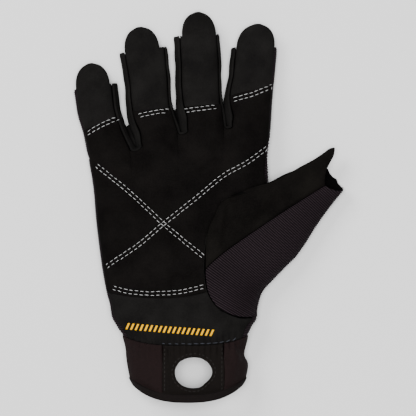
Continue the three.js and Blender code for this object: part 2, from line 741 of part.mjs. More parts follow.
function thumbPalmSurface() {
  const surface = openSurface();
  const far = shifted(thumbColumn(thumbBackBase(farRung), farAngle), halfGap);
  const columns = rungList(thumbFirstRung, splitRung).map((rung) =>
    thumbColumn(thumbPalmBase(rung), mix(180, splitAngle, rungShare(rung, thumbFirstRung, splitRung))));
  columns.push(shifted(columns.pop(), halfGap));
  surface.addGrid([far, ...columns].reverse());
  return surface;
}

function thumbBackSurface() {
  const surface = openSurface();
  const upper = rungList(splitRung, thumbLastRung).map((rung) =>
    thumbColumn(thumbPalmBase(rung), mix(splitAngle, 0, rungShare(rung, splitRung, thumbLastRung))));
  const lower = rungList(thumbLastRung, farRung).slice(1).map((rung) =>
    thumbColumn(thumbBackBase(rung), mix(0, farAngle - 360, rungShare(rung, thumbLastRung, farRung))));
  upper.unshift(shifted(upper.shift(), -halfGap));
  lower.push(shifted(lower.pop(), -halfGap));
  surface.addGrid([...upper, ...lower].reverse());
  return surface;
}

// Cuff: two sides that wrap round to the underside, a patch and a back with one hole through both.
const patchLeft = across(-0.249);
const patchRight = across(0.092);
const holeX = across(-0.076);
const holeY = along(0.081);
const cuffBackLeft = leftAt(wristLine) + undersideRound;
const cuffBackRight = rightAt(wristLine) - undersideRound;

function cuffSideSurface(side) {
  const surface = openSurface();
  const isLeft = side === "left";
  const under = isLeft ? cuffBackLeft - halfGap : cuffBackRight + halfGap;
  const upper = isLeft ? patchLeft - halfGap : patchRight + halfGap;
  const columns = [];
  [1, 0.6, 0.3, 0.1, 0].forEach((share) => columns.push({ share, below: true }));
  [0.03, 0.12, 0.3, 0.6, 1].forEach((share) => columns.push({ share, below: false }));
  const lineAt = (down) => mix(wristLine, hemLine, down);
  const grid = columns.map(({ share, below }) => steps(0, 1, cuffSteps).map((down) => {
    const outline = isLeft ? leftAt(lineAt(down)) : rightAt(lineAt(down));
    const x = mix(outline, below ? under : upper, share);
    const y = mix(wristSeamAt(x) - halfGap, hemSeamAt(x) + halfGap, down);
    const z = below ? undersideAt(leftAt(y), rightAt(y), x) : palmHeightAt(x, y);
    return new THREE.Vector3(x, y, z);
  }));
  surface.addGrid(isLeft ? grid : grid.reverse());
  return surface;
}

// A panel with the clip hole, as rings from the hole's edge out to the panel's four sides.
function holedSurface(left, right, heightAt, faceUp) {
  const surface = openSurface();
  const side = steps(0, 1, panelSideSteps).slice(0, -1);
  const border = [
    ...side.map((s) => [s, 0]),
    ...side.map((s) => [1, s]),
    ...side.map((s) => [1 - s, 1]),
    ...side.map((s) => [0, 1 - s]),
    [0, 0],
  ];
  const rings = steps(0, 1, holeRings).map((out) => border.map(([u, v]) => {
    const x = mix(left, right, u);
    const y = mix(wristSeamAt(x) - halfGap, hemSeamAt(x) + halfGap, v);
    const angle = Math.atan2((y - holeY) / clipHoleHeight, (x - holeX) / clipHoleWidth);
    const edgeX = holeX + (clipHoleWidth / 2) * Math.cos(angle);
    const edgeY = holeY + (clipHoleHeight / 2) * Math.sin(angle);
    const px = mix(edgeX, x, out);
    const py = mix(edgeY, y, out);
    return new THREE.Vector3(px, py, heightAt(px, py));
  }));
  surface.addGrid(faceUp ? rings : rings.reverse());
  return surface;
}

const cuffUnderside = (x, y) => undersideAt(leftAt(y), rightAt(y), x);
const patchSurface = holedSurface(patchLeft + halfGap, patchRight - halfGap, palmHeightAt, true);
const cuffBackSurface = holedSurface(cuffBackLeft + halfGap, cuffBackRight - halfGap, cuffUnderside, false);

// Bound edge round the cuff's opening: a flat band swept round the hem.
function bindingGeometry() {
  const topPlaces = steps(0, 1, bindingSteps).map((s) => (1 - Math.cos(Math.PI * s)) / 2);
  const edgeLeft = leftAt(hemLine);
  const edgeRight = rightAt(hemLine);
  const topX = topPlaces.map((share) => mix(edgeLeft, edgeRight, share));
  const places = [
    ...topX.map((x) => ({ x, upper: true })),
    ...topX.slice(1, -1).reverse().map((x) => ({ x, upper: false })),
  ];
  const centreX = (edgeLeft + edgeRight) / 2;
  const stations = places.map(({ x, upper }) => {
    const y = hemSeamAt(x);
    const z = upper ? palmHeightAt(x, y) : undersideAt(edgeLeft, edgeRight, x);
    return { x, y, z };
  });
  const points = [];
  const bandInner = bindingThickness - bindingProud;
  const corners = [
    [bindingProud, halfGap],
    [bindingProud / 2, bindingHeight],
    [-bandInner, bindingHeight],
    [-bandInner, halfGap],
  ];
  stations.forEach(({ x, y, z }, i) => {
    const before = stations[(i + stations.length - 1) % stations.length];
    const after = stations[(i + 1) % stations.length];
    const out = new THREE.Vector2(-(after.z - before.z), after.x - before.x).normalize();
    const taper = bindingTaper * Math.abs((x - centreX) / (edgeRight - centreX)) ** 3;
    corners.forEach(([outward, down]) => {
      const inward = (down / bindingHeight) * taper * Math.sign(centreX - x);
      const height = Math.max(0, z + out.y * outward);
      points.push(new THREE.Vector3(x + out.x * outward + inward, y - down, height));
    });
  });
  const index = [];
  stations.forEach((_, i) => {
    const next = (i + 1) % stations.length;
    for (let c = 0; c < 4; c += 1) {
      const d = (c + 1) % 4;
      index.push(4 * i + c, 4 * next + d, 4 * next + c, 4 * i + c, 4 * i + d, 4 * next + d);
    }
  });
  const geometry = new THREE.BufferGeometry();
  geometry.setAttribute("position", positionsOf(points));
  geometry.setIndex(index);
  return geometry;
}

// The pieces, with the frame's origin under the middle of the glove's box.
const glove = new THREE.Group();
const addPiece = (name, geometry, material) => {
  const mesh = new THREE.Mesh(geometry, material);
  mesh.name = name;
  glove.add(mesh);
};

addPiece("palm_panel", palmPanel, wornSuede);
addPiece("palm_overlay", palmOverlay, suede);
addPiece("fourchette_little_ring", fourchette(fingers[0], fingers[1]), ribKnit);
addPiece("fourchette_ring_middle", fourchette(fingers[1], fingers[2]), ribKnit);
addPiece("fourchette_middle_index", fourchette(fingers[2], fingers[3]), ribKnit);
addPiece("back_panel", sheet(backPanelSurface(), sheetThickness), ribKnit);
addPiece("thumb_palm", sheet(thumbPalmSurface(), sheetThickness), wornSuede);
addPiece("thumb_back", sheet(thumbBackSurface(), sheetThickness), ribKnit);
addPiece("cuff_left", sheet(cuffSideSurface("left"), sheetThickness), wovenCloth);
addPiece("cuff_right", sheet(cuffSideSurface("right"), sheetThickness), wovenCloth);
addPiece("cuff_patch", sheet(patchSurface, sheetThickness), patchCloth);
addPiece("cuff_back", sheet(cuffBackSurface, sheetThickness), wovenCloth);
addPiece("hem_binding", bindingGeometry(), tapeCloth);

const box = new THREE.Box3().setFromObject(glove);
const middle = box.getCenter(new THREE.Vector3());
glove.children.forEach((mesh) => mesh.geometry.translate(-middle.x, -middle.y, -box.min.z));

export default glove;
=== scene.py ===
import math

import bpy
import numpy as np
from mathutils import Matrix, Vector


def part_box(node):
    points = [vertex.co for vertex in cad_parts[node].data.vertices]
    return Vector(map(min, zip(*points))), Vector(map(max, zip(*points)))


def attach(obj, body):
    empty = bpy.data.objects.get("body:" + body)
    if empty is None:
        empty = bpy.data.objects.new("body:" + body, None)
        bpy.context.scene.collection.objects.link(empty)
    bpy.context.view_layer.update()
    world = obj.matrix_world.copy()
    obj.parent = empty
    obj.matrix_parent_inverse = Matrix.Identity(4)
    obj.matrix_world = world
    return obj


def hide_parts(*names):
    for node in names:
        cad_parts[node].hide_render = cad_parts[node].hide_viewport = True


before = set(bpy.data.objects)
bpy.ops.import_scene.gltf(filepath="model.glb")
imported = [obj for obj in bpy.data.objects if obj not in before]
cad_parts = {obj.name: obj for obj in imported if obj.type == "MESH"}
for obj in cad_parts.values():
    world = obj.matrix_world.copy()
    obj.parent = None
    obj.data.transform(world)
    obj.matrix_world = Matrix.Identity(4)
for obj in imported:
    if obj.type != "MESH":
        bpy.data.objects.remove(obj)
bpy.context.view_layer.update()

# Sizes below are millimetres; a mesh is scaled to metres where it is made.
gloveLength = 218
palmWidth = 100
halfGap = 0.15


# A table's rows, from its columns' names and each row's values in their order.
def tableOf(names, *rows):
    return [dict(zip(names.split(), row)) for row in rows]


# Edges of the hand part and cuff: places across are shares of palmWidth from the middle
# line, places along are shares of gloveLength from the hem's lowest point.
leftEdge = tableOf("up left",
    (0.04, -0.43), (0.098, -0.451), (0.17, -0.478), (0.19, -0.508), (0.221, -0.543),
    (0.252, -0.553), (0.283, -0.57), (0.375, -0.601), (0.468, -0.628), (0.545, -0.642),
    (0.627, -0.672))
rightEdge = tableOf("up right",
    (0.04, 0.205), (0.098, 0.231), (0.124, 0.216), (0.17, 0.229), (0.216, 0.272), (0.4, 0.318),
    (0.566, 0.343), (0.622, 0.338), (0.694, 0.357))

# Rungs cross the hand from its left side to its right one. On the palm the right ends follow
# the thumb's seam, on the back they pass behind the thumb.
palmRungs = tableOf("rung leftUp rightUp right",
    (0, 0.627, 0.694, 0.357), (0.08, 0.591, 0.627, 0.34), (0.15, 0.555, 0.586, 0.336),
    (0.2, 0.535, 0.566, 0.343), (0.26, 0.519, 0.548, 0.249), (0.32, 0.504, 0.533, 0.16),
    (0.38, 0.488, 0.515, 0.081), (0.44, 0.463, 0.481, 0.045), (0.51, 0.422, 0.437, 0.003),
    (0.58, 0.38, 0.385, -0.014), (0.65, 0.342, 0.342, -0.017), (0.7, 0.291, 0.295, -0.006),
    (0.77, 0.252, 0.247, 0.053), (0.82, 0.234, 0.226, 0.132), (0.86, 0.224, 0.218, 0.204),
    (0.9, 0.216, 0.216, 0.279), (0.95, 0.194, 0.194, 0.25), (1, 0.17, 0.17, 0.227))
backRungs = tableOf("rung leftUp rightUp right",
    (0, 0.627, 0.694, 0.357), (0.1, 0.581, 0.622, 0.338), (0.2, 0.535, 0.566, 0.343),
    (0.32, 0.488, 0.519, 0.283), (0.44, 0.422, 0.442, 0.227), (0.58, 0.355, 0.365, 0.204),
    (0.72, 0.283, 0.288, 0.221), (0.9, 0.216, 0.216, 0.279), (0.95, 0.194, 0.194, 0.25),
    (1, 0.17, 0.17, 0.227))

# Each finger's sides from its root to its open end, then its tongue, its seams' insets from the
# outline, and the overlay's bar.
fingerSides = {
    "little": tableOf("reach left right leftUp rightUp",
                      (0, -0.672, -0.404, 0.627, 0.653), (0.33, -0.699, -0.458, 0.686, 0.708),
                      (0.66, -0.738, -0.493, 0.744, 0.763), (1, -0.756, -0.508, 0.805, 0.821)),
    "ring": tableOf("reach left right leftUp rightUp",
                    (0, -0.396, -0.152, 0.653, 0.695), (0.33, -0.452, -0.199, 0.733, 0.768),
                    (0.66, -0.467, -0.211, 0.814, 0.841), (1, -0.497, -0.227, 0.897, 0.915)),
    "middle": tableOf("reach left right leftUp rightUp",
                      (0, -0.144, 0.105, 0.695, 0.71), (0.33, -0.18, 0.083, 0.776, 0.788),
                      (0.66, -0.182, 0.078, 0.857, 0.866), (1, -0.191, 0.066, 0.94, 0.947)),
    "index": tableOf("reach left right leftUp rightUp",
                     (0, 0.113, 0.357, 0.71, 0.694), (0.33, 0.092, 0.366, 0.776, 0.767),
                     (0.66, 0.118, 0.382, 0.843, 0.841), (1, 0.132, 0.394, 0.912, 0.915)),
}
fingers = tableOf(
    "name tongueFrom tongueTo seamLeft seamRight barLeft barRight",
    ("little", 0.02, 0.85, 1.3, 3, 0.38, 0.49), ("ring", 0.12, 0.85, 3, 1.3, 0.366, 0.27),
    ("middle", 0.18, 0.95, 3.4, 1.3, 0.245, 0.235), ("index", 0.11, 0.99, 2.6, 1.3, 0.374, 0.562))
for finger in fingers:
    finger["sides"] = fingerSides[finger["name"]]

heights = {"hem": 33, "wrist": 27, "palm": 26, "fingerRoot": 18.5, "fingerEnd": 14, "side": 12,
           "shoulder": 30, "underRound": 13, "dent": 2.2, "upperPower": 2.3, "lowerPower": 3,
           "flatCut": 0.4, "seamSpread": 1.9, "spreadReach": 0.55, "spreadStart": 0.17,
           "rootMiddle": 0.75, "endMiddle": 0.48, "underSeam": 2, "leastInset": 0.05, "crotchDepth": 0.55}
dent = {"across": -0.2, "along": 0.42, "width": 0.3, "length": 0.14}


# Place across the glove: a share times palmWidth.
def across(share):
    return np.asarray(share) * palmWidth


# Place along the glove: a share less one half, times gloveLength.
def along(share):
    return (np.asarray(share) - 0.5) * gloveLength


# From a to b in proportion to the share.
def mix(a, b, share):
    return a + (b - a) * share


# Even rise from 0 to 1: three times the square less twice the cube.
def smooth(share):
    s = np.clip(share, 0, 1)
    return s * s * (3 - 2 * s)


# A smooth curve through a table's rows: cubic pieces whose slope at each row is the harmonic
# mean of the rises on both sides, and zero where the rises turn.
def readColumn(table, key, column, place):
    rows = sorted(table, key=lambda row: row[key])
    keys = np.array([row[key] for row in rows], float)
    values = np.array([row[column] for row in rows], float)
    rise = np.diff(values) / np.diff(keys)
    product = rise[:-1] * rise[1:]
    total = np.where(product > 0, rise[:-1] + rise[1:], 1)
    inner = np.where(product > 0, 2 * product / total, 0)
    slope = np.concatenate([rise[:1], inner, rise[-1:]])
    at = np.clip(np.asarray(place, float), keys[0], keys[-1])
    i = np.clip(np.searchsorted(keys, at) - 1, 0, len(keys) - 2)
    step = keys[i + 1] - keys[i]
    s = (at - keys[i]) / step
    start = values[i] * (1 + 2 * s) * (1 - s) ** 2 + step * slope[i] * s * (1 - s) ** 2
    return start + values[i + 1] * s * s * (3 - 2 * s) - step * slope[i + 1] * s * s * (1 - s)


# Quarter of a superellipse: 0 at the edge, 1 from the given width on.
def quarter(distance, width, power):
    s = 1 - np.clip(distance / width, 0, 1)
    return np.maximum(0, 1 - s ** power) ** (1 / power)


# Edges of the hand part and cuff at a place along the glove, read from their tables.
def leftAt(y):
    return across(readColumn(leftEdge, "up", "left", np.asarray(y) / gloveLength + 0.5))


def rightAt(y):
    return across(readColumn(rightEdge, "up", "right", np.asarray(y) / gloveLength + 0.5))


crestRows = [
    {"up": 0, "height": heights["hem"]},
    {"up": 0.08, "height": mix(heights["wrist"], heights["hem"], 0.6)},
    {"up": 0.17, "height": heights["wrist"]},
    {"up": 0.3, "height": heights["palm"] + 1},
    {"up": 0.5, "height": heights["palm"]},
    {"up": 0.62, "height": mix(heights["fingerRoot"], heights["palm"], 0.6)},
    {"up": 0.7, "height": heights["fingerRoot"] + 1},
]


# Palm side: two superellipse quarters from the sides up to the crest, less one round bowl.
def palmHeightAt(x, y):
    crest = readColumn(crestRows, "up", "height", y / gloveLength + 0.5)
    rise = quarter(x - leftAt(y), heights["shoulder"], heights["upperPower"])
    rise = rise * quarter(rightAt(y) - x, heights["shoulder"], heights["upperPower"])
    bowlX = (x - across(dent["across"])) / across(dent["width"])
    bowlY = (y - along(dent["along"])) / (dent["length"] * gloveLength)
    bowl = heights["dent"] * np.exp(-bowlX * bowlX - bowlY * bowlY)
    return heights["side"] + (crest - heights["side"]) * rise - bowl


# Underside: round at both sides, flat between them.
def undersideAt(left, right, x):
    rise = quarter(x - left, heights["underRound"], heights["lowerPower"])
    rise = rise * quarter(right - x, heights["underRound"], heights["lowerPower"])
    return np.maximum(0, heights["side"] * (1 - rise) - heights["flatCut"] * rise)


# A finger's side line at a share of its length, read from its own table.
def fingerSide(finger, column, reach):
    value = readColumn(finger["sides"], "reach", column, reach)
    return along(value) if column.endswith("Up") else across(value)


# A finger's cross-section: a superellipse above and a squarer one below, flat at the bottom.
def fingerPoint(finger, reach, angle):
    left = fingerSide(finger, "left", reach)
    right = fingerSide(finger, "right", reach)
    turn = np.radians(angle)
    cosine, sine = np.cos(turn), np.sin(turn)
    power = 2 / np.where(sine >= 0, heights["upperPower"], heights["lowerPower"])
    x = (left + right) / 2 + (right - left) / 2 * np.sign(cosine) * np.abs(cosine) ** power
    share = (x - left) / (right - left)
    y = mix(fingerSide(finger, "leftUp", reach), fingerSide(finger, "rightUp", reach), share)
    top = mix(heights["fingerRoot"], heights["fingerEnd"], reach)
    wide = mix(heights["side"] * heights["rootMiddle"], heights["fingerEnd"] * heights["endMiddle"], reach)
    above = wide + (top - wide) * np.abs(sine) ** power
    below = np.maximum(0, wide * (1 - np.abs(sine) ** power) - heights["flatCut"])
    z = np.where(sine >= 0, above, below)
    return np.stack(np.broadcast_arrays(x, y, z), -1)


# Angle of a superellipse's point at an inset from its side: the arc cosine of what is left,
# to half the power.
def insetAngle(half, inset, power):
    cosine = np.clip(1 - inset / half, 0, 1) ** (power / 2)
    return np.degrees(np.arccos(cosine))


# Angles of the four seams round a finger, each piece giving up its part of the gap. The palm's
# left seam moves further in toward the finger's root, except on the outer finger.
def seamAngles(finger, reach, giveUp):
    spread = heights["seamSpread"] * (1 - smooth(np.asarray(reach) / heights["spreadReach"]))
    spread = spread * smooth(np.asarray(reach) / heights["spreadStart"])
    half = (fingerSide(finger, "right", reach) - fingerSide(finger, "left", reach)) / 2
    upper, lower = heights["upperPower"], heights["lowerPower"]
    innerLeft, innerRight = finger["name"] != "little", finger["name"] != "index"
    seamLeft = finger["seamLeft"] + spread * innerLeft
    outerLeft = np.maximum(heights["leastInset"], finger["seamLeft"] - giveUp)
    outerRight = np.maximum(heights["leastInset"], finger["seamRight"] - giveUp)
    hidden = insetAngle(half, heights["underSeam"] + giveUp, lower)
    return {
        "palmRight": insetAngle(half, finger["seamRight"] + giveUp, upper),
        "palmLeft": 180 - insetAngle(half, seamLeft + giveUp, upper),
        "backRight": -hidden if innerRight else insetAngle(half, outerRight, upper),
        "backLeft": -180 + hidden if innerLeft else -180 - insetAngle(half, outerLeft, upper),
    }


# Half turn round the crotch between two fingers, from one side's place to the other's: half
# an ellipse, whose depth is a share of half the distance between the places.
def crotchPoints(leftPlace, rightPlace, turns):
    side = ((1 - np.cos(turns * np.pi)) / 2)[:, None]
    radius = (rightPlace[0] - leftPlace[0]) / 2 * heights["crotchDepth"]
    points = mix(leftPlace, rightPlace, side)
    points[:, 1] -= radius * np.sin(turns * np.pi)
    return points


# Right end of a rung, moved aside by a distance square to the line of the right ends.
def rungRight(table, rung, distance):
    def placeAt(r):
        return np.stack([across(readColumn(table, "rung", "right", r)),
                         along(readColumn(table, "rung", "rightUp", r))], -1)
    run = placeAt(np.minimum(1, rung + 0.01)) - placeAt(np.maximum(0, rung - 0.01))
    run = run / np.linalg.norm(run, axis=-1, keepdims=True)
    return placeAt(rung) + np.stack([-run[..., 1], run[..., 0]], -1) * np.asarray(distance)[..., None]


seams = {"wrist": along(0.17), "hem": along(0.065), "wristSag": 4.8, "hemSag": 8.6, "wristPower": 3,
         "hemPower": 2.5, "bindingHeight": 4.5, "patchLeft": -0.249, "patchRight": 0.092}


# Bow across the glove: 1 in the middle, less the distance from it to a power.
def bow(x, y, power):
    return 1 - np.abs(2 * (x - leftAt(y)) / (rightAt(y) - leftAt(y)) - 1) ** power


# The wrist seam and the hem seam: straight lines that sag by their own bow.
def wristSeamAt(x):
    return seams["wrist"] - seams["wristSag"] * np.clip(bow(x, seams["wrist"], seams["wristPower"]), 0, 1)


def hemSeamAt(x):
    return seams["hem"] - seams["hemSag"] * np.clip(bow(x, seams["hem"], seams["hemPower"]), 0, 1)


# The frame's origin is the middle of the CAD box, the formulas' is the middle line.
patchLeft, patchRight = across(seams["patchLeft"]), across(seams["patchRight"])
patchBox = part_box("cuff_patch")
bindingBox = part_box("hem_binding")
shift = np.array([
    patchBox[0][0] * 1000 - (patchLeft + halfGap),
    bindingBox[0][1] * 1000 - (seams["hem"] - seams["hemSag"] - seams["bindingHeight"]),
    0.0,
])
print("frame read, shift", shift.round(3))

# Meshes from grids. Distances between many points are taken in blocks, to save memory.
blockSize = 4_000_000


# Distance along one axis of a grid of points, measured on the points themselves.
def runAlong(points, axis):
    length = np.linalg.norm(np.diff(points, axis=axis), axis=-1)
    start = np.zeros_like(np.take(length, [0], axis=axis))
    return np.cumsum(np.concatenate([start, length], axis=axis), axis=axis)


# Joins grids of points (rows, columns, 3) into one surface: points that agree to a hundredth
# of a millimetre become one vertex.
# Each grid's cloth coordinates are millimetres along its columns and rows.
def joinGrids(*grids):
    points, quads, cloth = [], [], []
    start = 0
    for grid in grids:
        rows, columns = grid.shape[:2]
        index = start + np.arange(rows * columns).reshape(rows, columns)
        corners = [index[:-1, :-1], index[:-1, 1:], index[1:, 1:], index[1:, :-1]]
        quads.append(np.stack(corners, -1).reshape(-1, 4))
        points.append(grid.reshape(-1, 3))
        cloth.append(np.stack([runAlong(grid, 1), runAlong(grid, 0)], -1).reshape(-1, 2))
        start += rows * columns
    points, quads, cloth = np.concatenate(points), np.concatenate(quads), np.concatenate(cloth)
    keys = np.round(points * 100).astype(int)
    _, first, index = np.unique(keys, axis=0, return_index=True, return_inverse=True)
    index = index.reshape(-1)
    return {"points": points[first], "quads": index[quads], "cloth": cloth[quads], "origin": index}


# Outward direction at each vertex: the sum of the faces' own directions by area.
def normalsOf(surface):
    p, q = surface["points"], surface["quads"]
    faceNormal = np.cross(p[q[:, 2]] - p[q[:, 0]], p[q[:, 3]] - p[q[:, 1]])
    total = np.zeros_like(p)
    for corner in range(4):
        np.add.at(total, q[:, corner], faceNormal)
    return total / np.maximum(np.linalg.norm(total, axis=1, keepdims=True), 1e-12)


# Outward directions evened out: each face passes on the mean of its corners' directions.
def evenNormals(surface, passes=3):
    q, normals = surface["quads"], normalsOf(surface)
    for _ in range(passes):
        mean = normals[q].sum(1)
        total = np.zeros_like(normals)
        for corner in range(4):
            np.add.at(total, q[:, corner], mean)
        normals = total / np.maximum(np.linalg.norm(total, axis=1, keepdims=True), 1e-12)
    return normals


# Open edges in their faces' own order: the edges that only one face uses.
def openEdges(quads):
    edges = np.concatenate([quads[:, [0, 1]], quads[:, [1, 2]], quads[:, [2, 3]], quads[:, [3, 0]]])
    edges = edges[edges[:, 0] != edges[:, 1]]
    _, index, count = np.unique(np.sort(edges, axis=1), axis=0, return_inverse=True, return_counts=True)
    return edges[count[index.reshape(-1)] == 1]


# Places of the vertices on the open edges.
def edgePoints(surface):
    return surface["points"][np.unique(openEdges(surface["quads"]))]


# Distance from each point to the nearest of some others.
def nearest(points, others):
    blocks = np.array_split(points, max(1, len(points) * len(others) // blockSize))
    return np.concatenate([
        np.sqrt(((block[:, None, :] - others[None, :, :]) ** 2).sum(-1).min(1)) for block in blocks])


# Distance from points to a polyline, both seen from above.
def pathDistance(points, path):
    a, b = path[:-1, :2], path[1:, :2]
    run = b - a
    p = points[:, None, :2] - a[None]
    share = np.clip((p * run).sum(-1) / np.maximum((run * run).sum(-1), 1e-9), 0, 1)
    return np.linalg.norm(p - share[..., None] * run[None], axis=-1).min(1)


# Moves the surface along its own directions by a height at each vertex.
def raiseBy(surface, height):
    surface["points"] = surface["points"] + evenNormals(surface) * np.asarray(height)[..., None]
    return surface


# Sinks the surface toward its open edges: depth times a bell of the distance to the edge.
def rollEdges(surface, depth, width):
    distance = nearest(surface["points"], edgePoints(surface))
    return raiseBy(surface, -depth * np.exp(-(distance / width) ** 2))


# Lets a height fade out toward the edges, so that sewn edges stay together: times an even
# rise with the distance to the edge.
def fadeAtEdges(surface, height, edge=None):
    distance = nearest(surface["points"], edgePoints(surface) if edge is None else edge)
    return height * smooth(distance / cloth["settle"])


# Soft unevenness of cloth: a sum of seeded sine waves in random directions.
def unevenness(points, size, seed, waves=9):
    random = np.random.default_rng(seed)
    direction = random.normal(size=(waves, 3))
    direction /= np.linalg.norm(direction, axis=1, keepdims=True)
    frequency = 2 * np.pi / (size * random.uniform(0.7, 1.6, waves))
    phase = random.uniform(0, 2 * np.pi, waves)
    return np.sin(points @ (direction * frequency[:, None]).T + phase).sum(1) / np.sqrt(waves)


# Unevenness of one piece: a height times the waves of a size and seed.
def rough(points, height, size, seed):
    return height * unevenness(points, size, seed)


# Creases: each is a bell across its own line, fading toward the line's ends.
def creases(points, rows):
    total = np.zeros(len(points))
    for row in rows:
        start, end = np.array(row["from"], float), np.array(row["to"], float)
        run = end - start
        length = np.linalg.norm(run)
        p = points[:, :2] - start
        share = np.clip((p @ run) / length ** 2, 0, 1)
        away = np.linalg.norm(p - share[:, None] * run, axis=1)
        fade = np.sin(np.pi * np.clip(share, 0.02, 0.98)) ** 0.5
        total += row["depth"] * fade * np.exp(-(away / row["width"]) ** 2)
    return total


# Mesh from points in millimetres: whole quads stay, those with equal corners become one
# triangle or none. Inner faces take the second material.
def makeMesh(name, points, quads, cloth, materials, inner=None):
    a, b, c, d = quads.T
    whole = (a != b) & (b != c) & (c != d) & (d != a) & (a != c) & (b != d)
    inner = np.zeros(len(quads), bool) if inner is None else inner
    halves, halfCloth, halfInner = [], [], []
    for order in ([0, 1, 2], [0, 2, 3]):
        part, partCloth = quads[~whole][:, order], cloth[~whole][:, order]
        keep = (part[:, 0] != part[:, 1]) & (part[:, 1] != part[:, 2]) & (part[:, 2] != part[:, 0])
        halves.append(part[keep])
        halfCloth.append(partCloth[keep])
        halfInner.append(inner[~whole][keep])
    triangles = np.concatenate(halves)
    full, fullCloth = quads[whole], cloth[whole]
    loops = np.concatenate([full.reshape(-1), triangles.reshape(-1)])
    starts = np.concatenate([np.arange(len(full)) * 4, len(full) * 4 + np.arange(len(triangles)) * 3])
    uv = np.concatenate([fullCloth.reshape(-1, 2), np.concatenate(halfCloth).reshape(-1, 2)])
    mesh = bpy.data.meshes.new(name)
    mesh.vertices.add(len(points))
    mesh.vertices.foreach_set("co", (points / 1000).astype(np.float32).ravel())
    mesh.loops.add(len(loops))
    mesh.loops.foreach_set("vertex_index", loops.astype(np.int32))
    mesh.polygons.add(len(starts))
    mesh.polygons.foreach_set("loop_start", starts.astype(np.int32))
    mesh.uv_layers.new(name="cloth").data.foreach_set("uv", uv.astype(np.float32).ravel())
    slots = np.concatenate([inner[whole]] + halfInner).astype(np.int32)
    mesh.polygons.foreach_set("material_index", slots)
    mesh.update(calc_edges=True)
    mesh.validate()
    mesh.shade_smooth()
    for material in materials:
        mesh.materials.append(material)
    return mesh


# Sets a piece on the part's one body, with the CAD nodes it stands for.
def placePiece(name, mesh, nodes):
    piece = bpy.data.objects.new(name, mesh)
    bpy.context.collection.objects.link(piece)
    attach(piece, "root")
    if nodes:
        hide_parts(*nodes)
    print("made", name, len(mesh.polygons), "faces")
    return piece


# A sewn sheet: the surface is its outer side, the wall grows inward along the evened directions, and a rim of
# faces closes it along the open edges. Its inner side takes a near-black cloth that paints the shade inside
# the glove.
def sheetPiece(name, surface, thickness, material, nodes):
    count, quads, uv = len(surface["points"]), surface["quads"], surface["cloth"]
    wall = np.broadcast_to(thickness, count)[:, None]
    points = np.concatenate([surface["points"], surface["points"] - evenNormals(surface) * wall]) + shift
    points[:, 2] = np.maximum(points[:, 2], 0)
    rim = openEdges(quads)
    rimQuads = np.stack([rim[:, 1], rim[:, 0], rim[:, 0] + count, rim[:, 1] + count], -1)
    allQuads = np.concatenate([quads, quads[:, ::-1] + count, rimQuads])
    place = np.zeros((count, 2))
    place[quads.reshape(-1)] = uv.reshape(-1, 2)
    rimCloth = place[rimQuads % count]
    inner = np.arange(len(allQuads)) >= len(quads)
    inner[2 * len(quads):] = False
    allCloth = np.concatenate([uv, uv[:, ::-1], rimCloth])
    mesh = makeMesh(name, points, allQuads, allCloth, [material, insideShadeCloth], inner)
    if "sunk" in surface:
        sunk = np.tile(surface["sunk"], 2).astype(np.float32)
        mesh.attributes.new("sunk", "FLOAT", "POINT").data.foreach_set("value", sunk)
    return placePiece(name, mesh, nodes)


# Height and outward direction of a surface seen from above at given places: the four nearest
# upper vertices, weighted by one over the square of their distance.
def surfaceAt(surface, places):
    normals = normalsOf(surface)
    upper = normals[:, 2] > 0.1
    points, normals = surface["points"][upper], normals[upper]
    found, facing = [], []
    for block in np.array_split(places, max(1, len(places) * len(points) // blockSize)):
        away = ((block[:, None, :2] - points[None, :, :2]) ** 2).sum(-1)
        best = np.argpartition(away, 4, axis=1)[:, :4]
        weight = 1 / (np.take_along_axis(away, best, 1) + 1e-3)
        weight /= weight.sum(1, keepdims=True)
        found.append((points[best, 2] * weight).sum(1))
        facing.append((normals[best] * weight[..., None]).sum(1))
    return np.concatenate(found), np.concatenate(facing)


# Shader groups


# An empty effect group with its inputs and outputs: what is given as four numbers, or called
# Colour, is a colour, and the rest are single values.
def addGroup(name, inputs, outputs):
    group = bpy.data.node_groups.new(name, "ShaderNodeTree")
    for label, value in inputs.items():
        kind = "NodeSocketColor" if isinstance(value, tuple) else "NodeSocketFloat"
        group.interface.new_socket(label, in_out="INPUT", socket_type=kind).default_value = value
    for label in outputs:
        kind = "NodeSocketColor" if label == "Colour" else "NodeSocketFloat"
        group.interface.new_socket(label, in_out="OUTPUT", socket_type=kind)
    return group, group.nodes.new("NodeGroupInput"), group.nodes.new("NodeGroupOutput")


# Sets a shader input to a value, or links it to another node's output.
def feed(tree, socket, value):
    if isinstance(value, bpy.types.NodeSocket):
        tree.links.new(value, socket)
    else:
        socket.default_value = value


# One shader node with its settings, and its inputs by name or by i and their number.
def addNode(tree, kind, settings=None, **inputs):
    node = tree.nodes.new(kind)
    for key, value in (settings or {}).items():
        setattr(node, key, value)
    for key, value in inputs.items():
        feed(tree, node.inputs[int(key[1:]) if key[1:].isdigit() else key.replace("_", " ")], value)
    return node


# One sum or product of two shader values.
def mathNode(tree, operation, a, b=0.0):
    return addNode(tree, "ShaderNodeMath", {"operation": operation}, i0=a, i1=b).outputs[0]


# Colour from a to b in proportion to the share.
def mixColour(tree, share, a, b):
    return addNode(tree, "ShaderNodeMix", {"data_type": "RGBA"}, Factor=share, i6=a, i7=b).outputs[2]


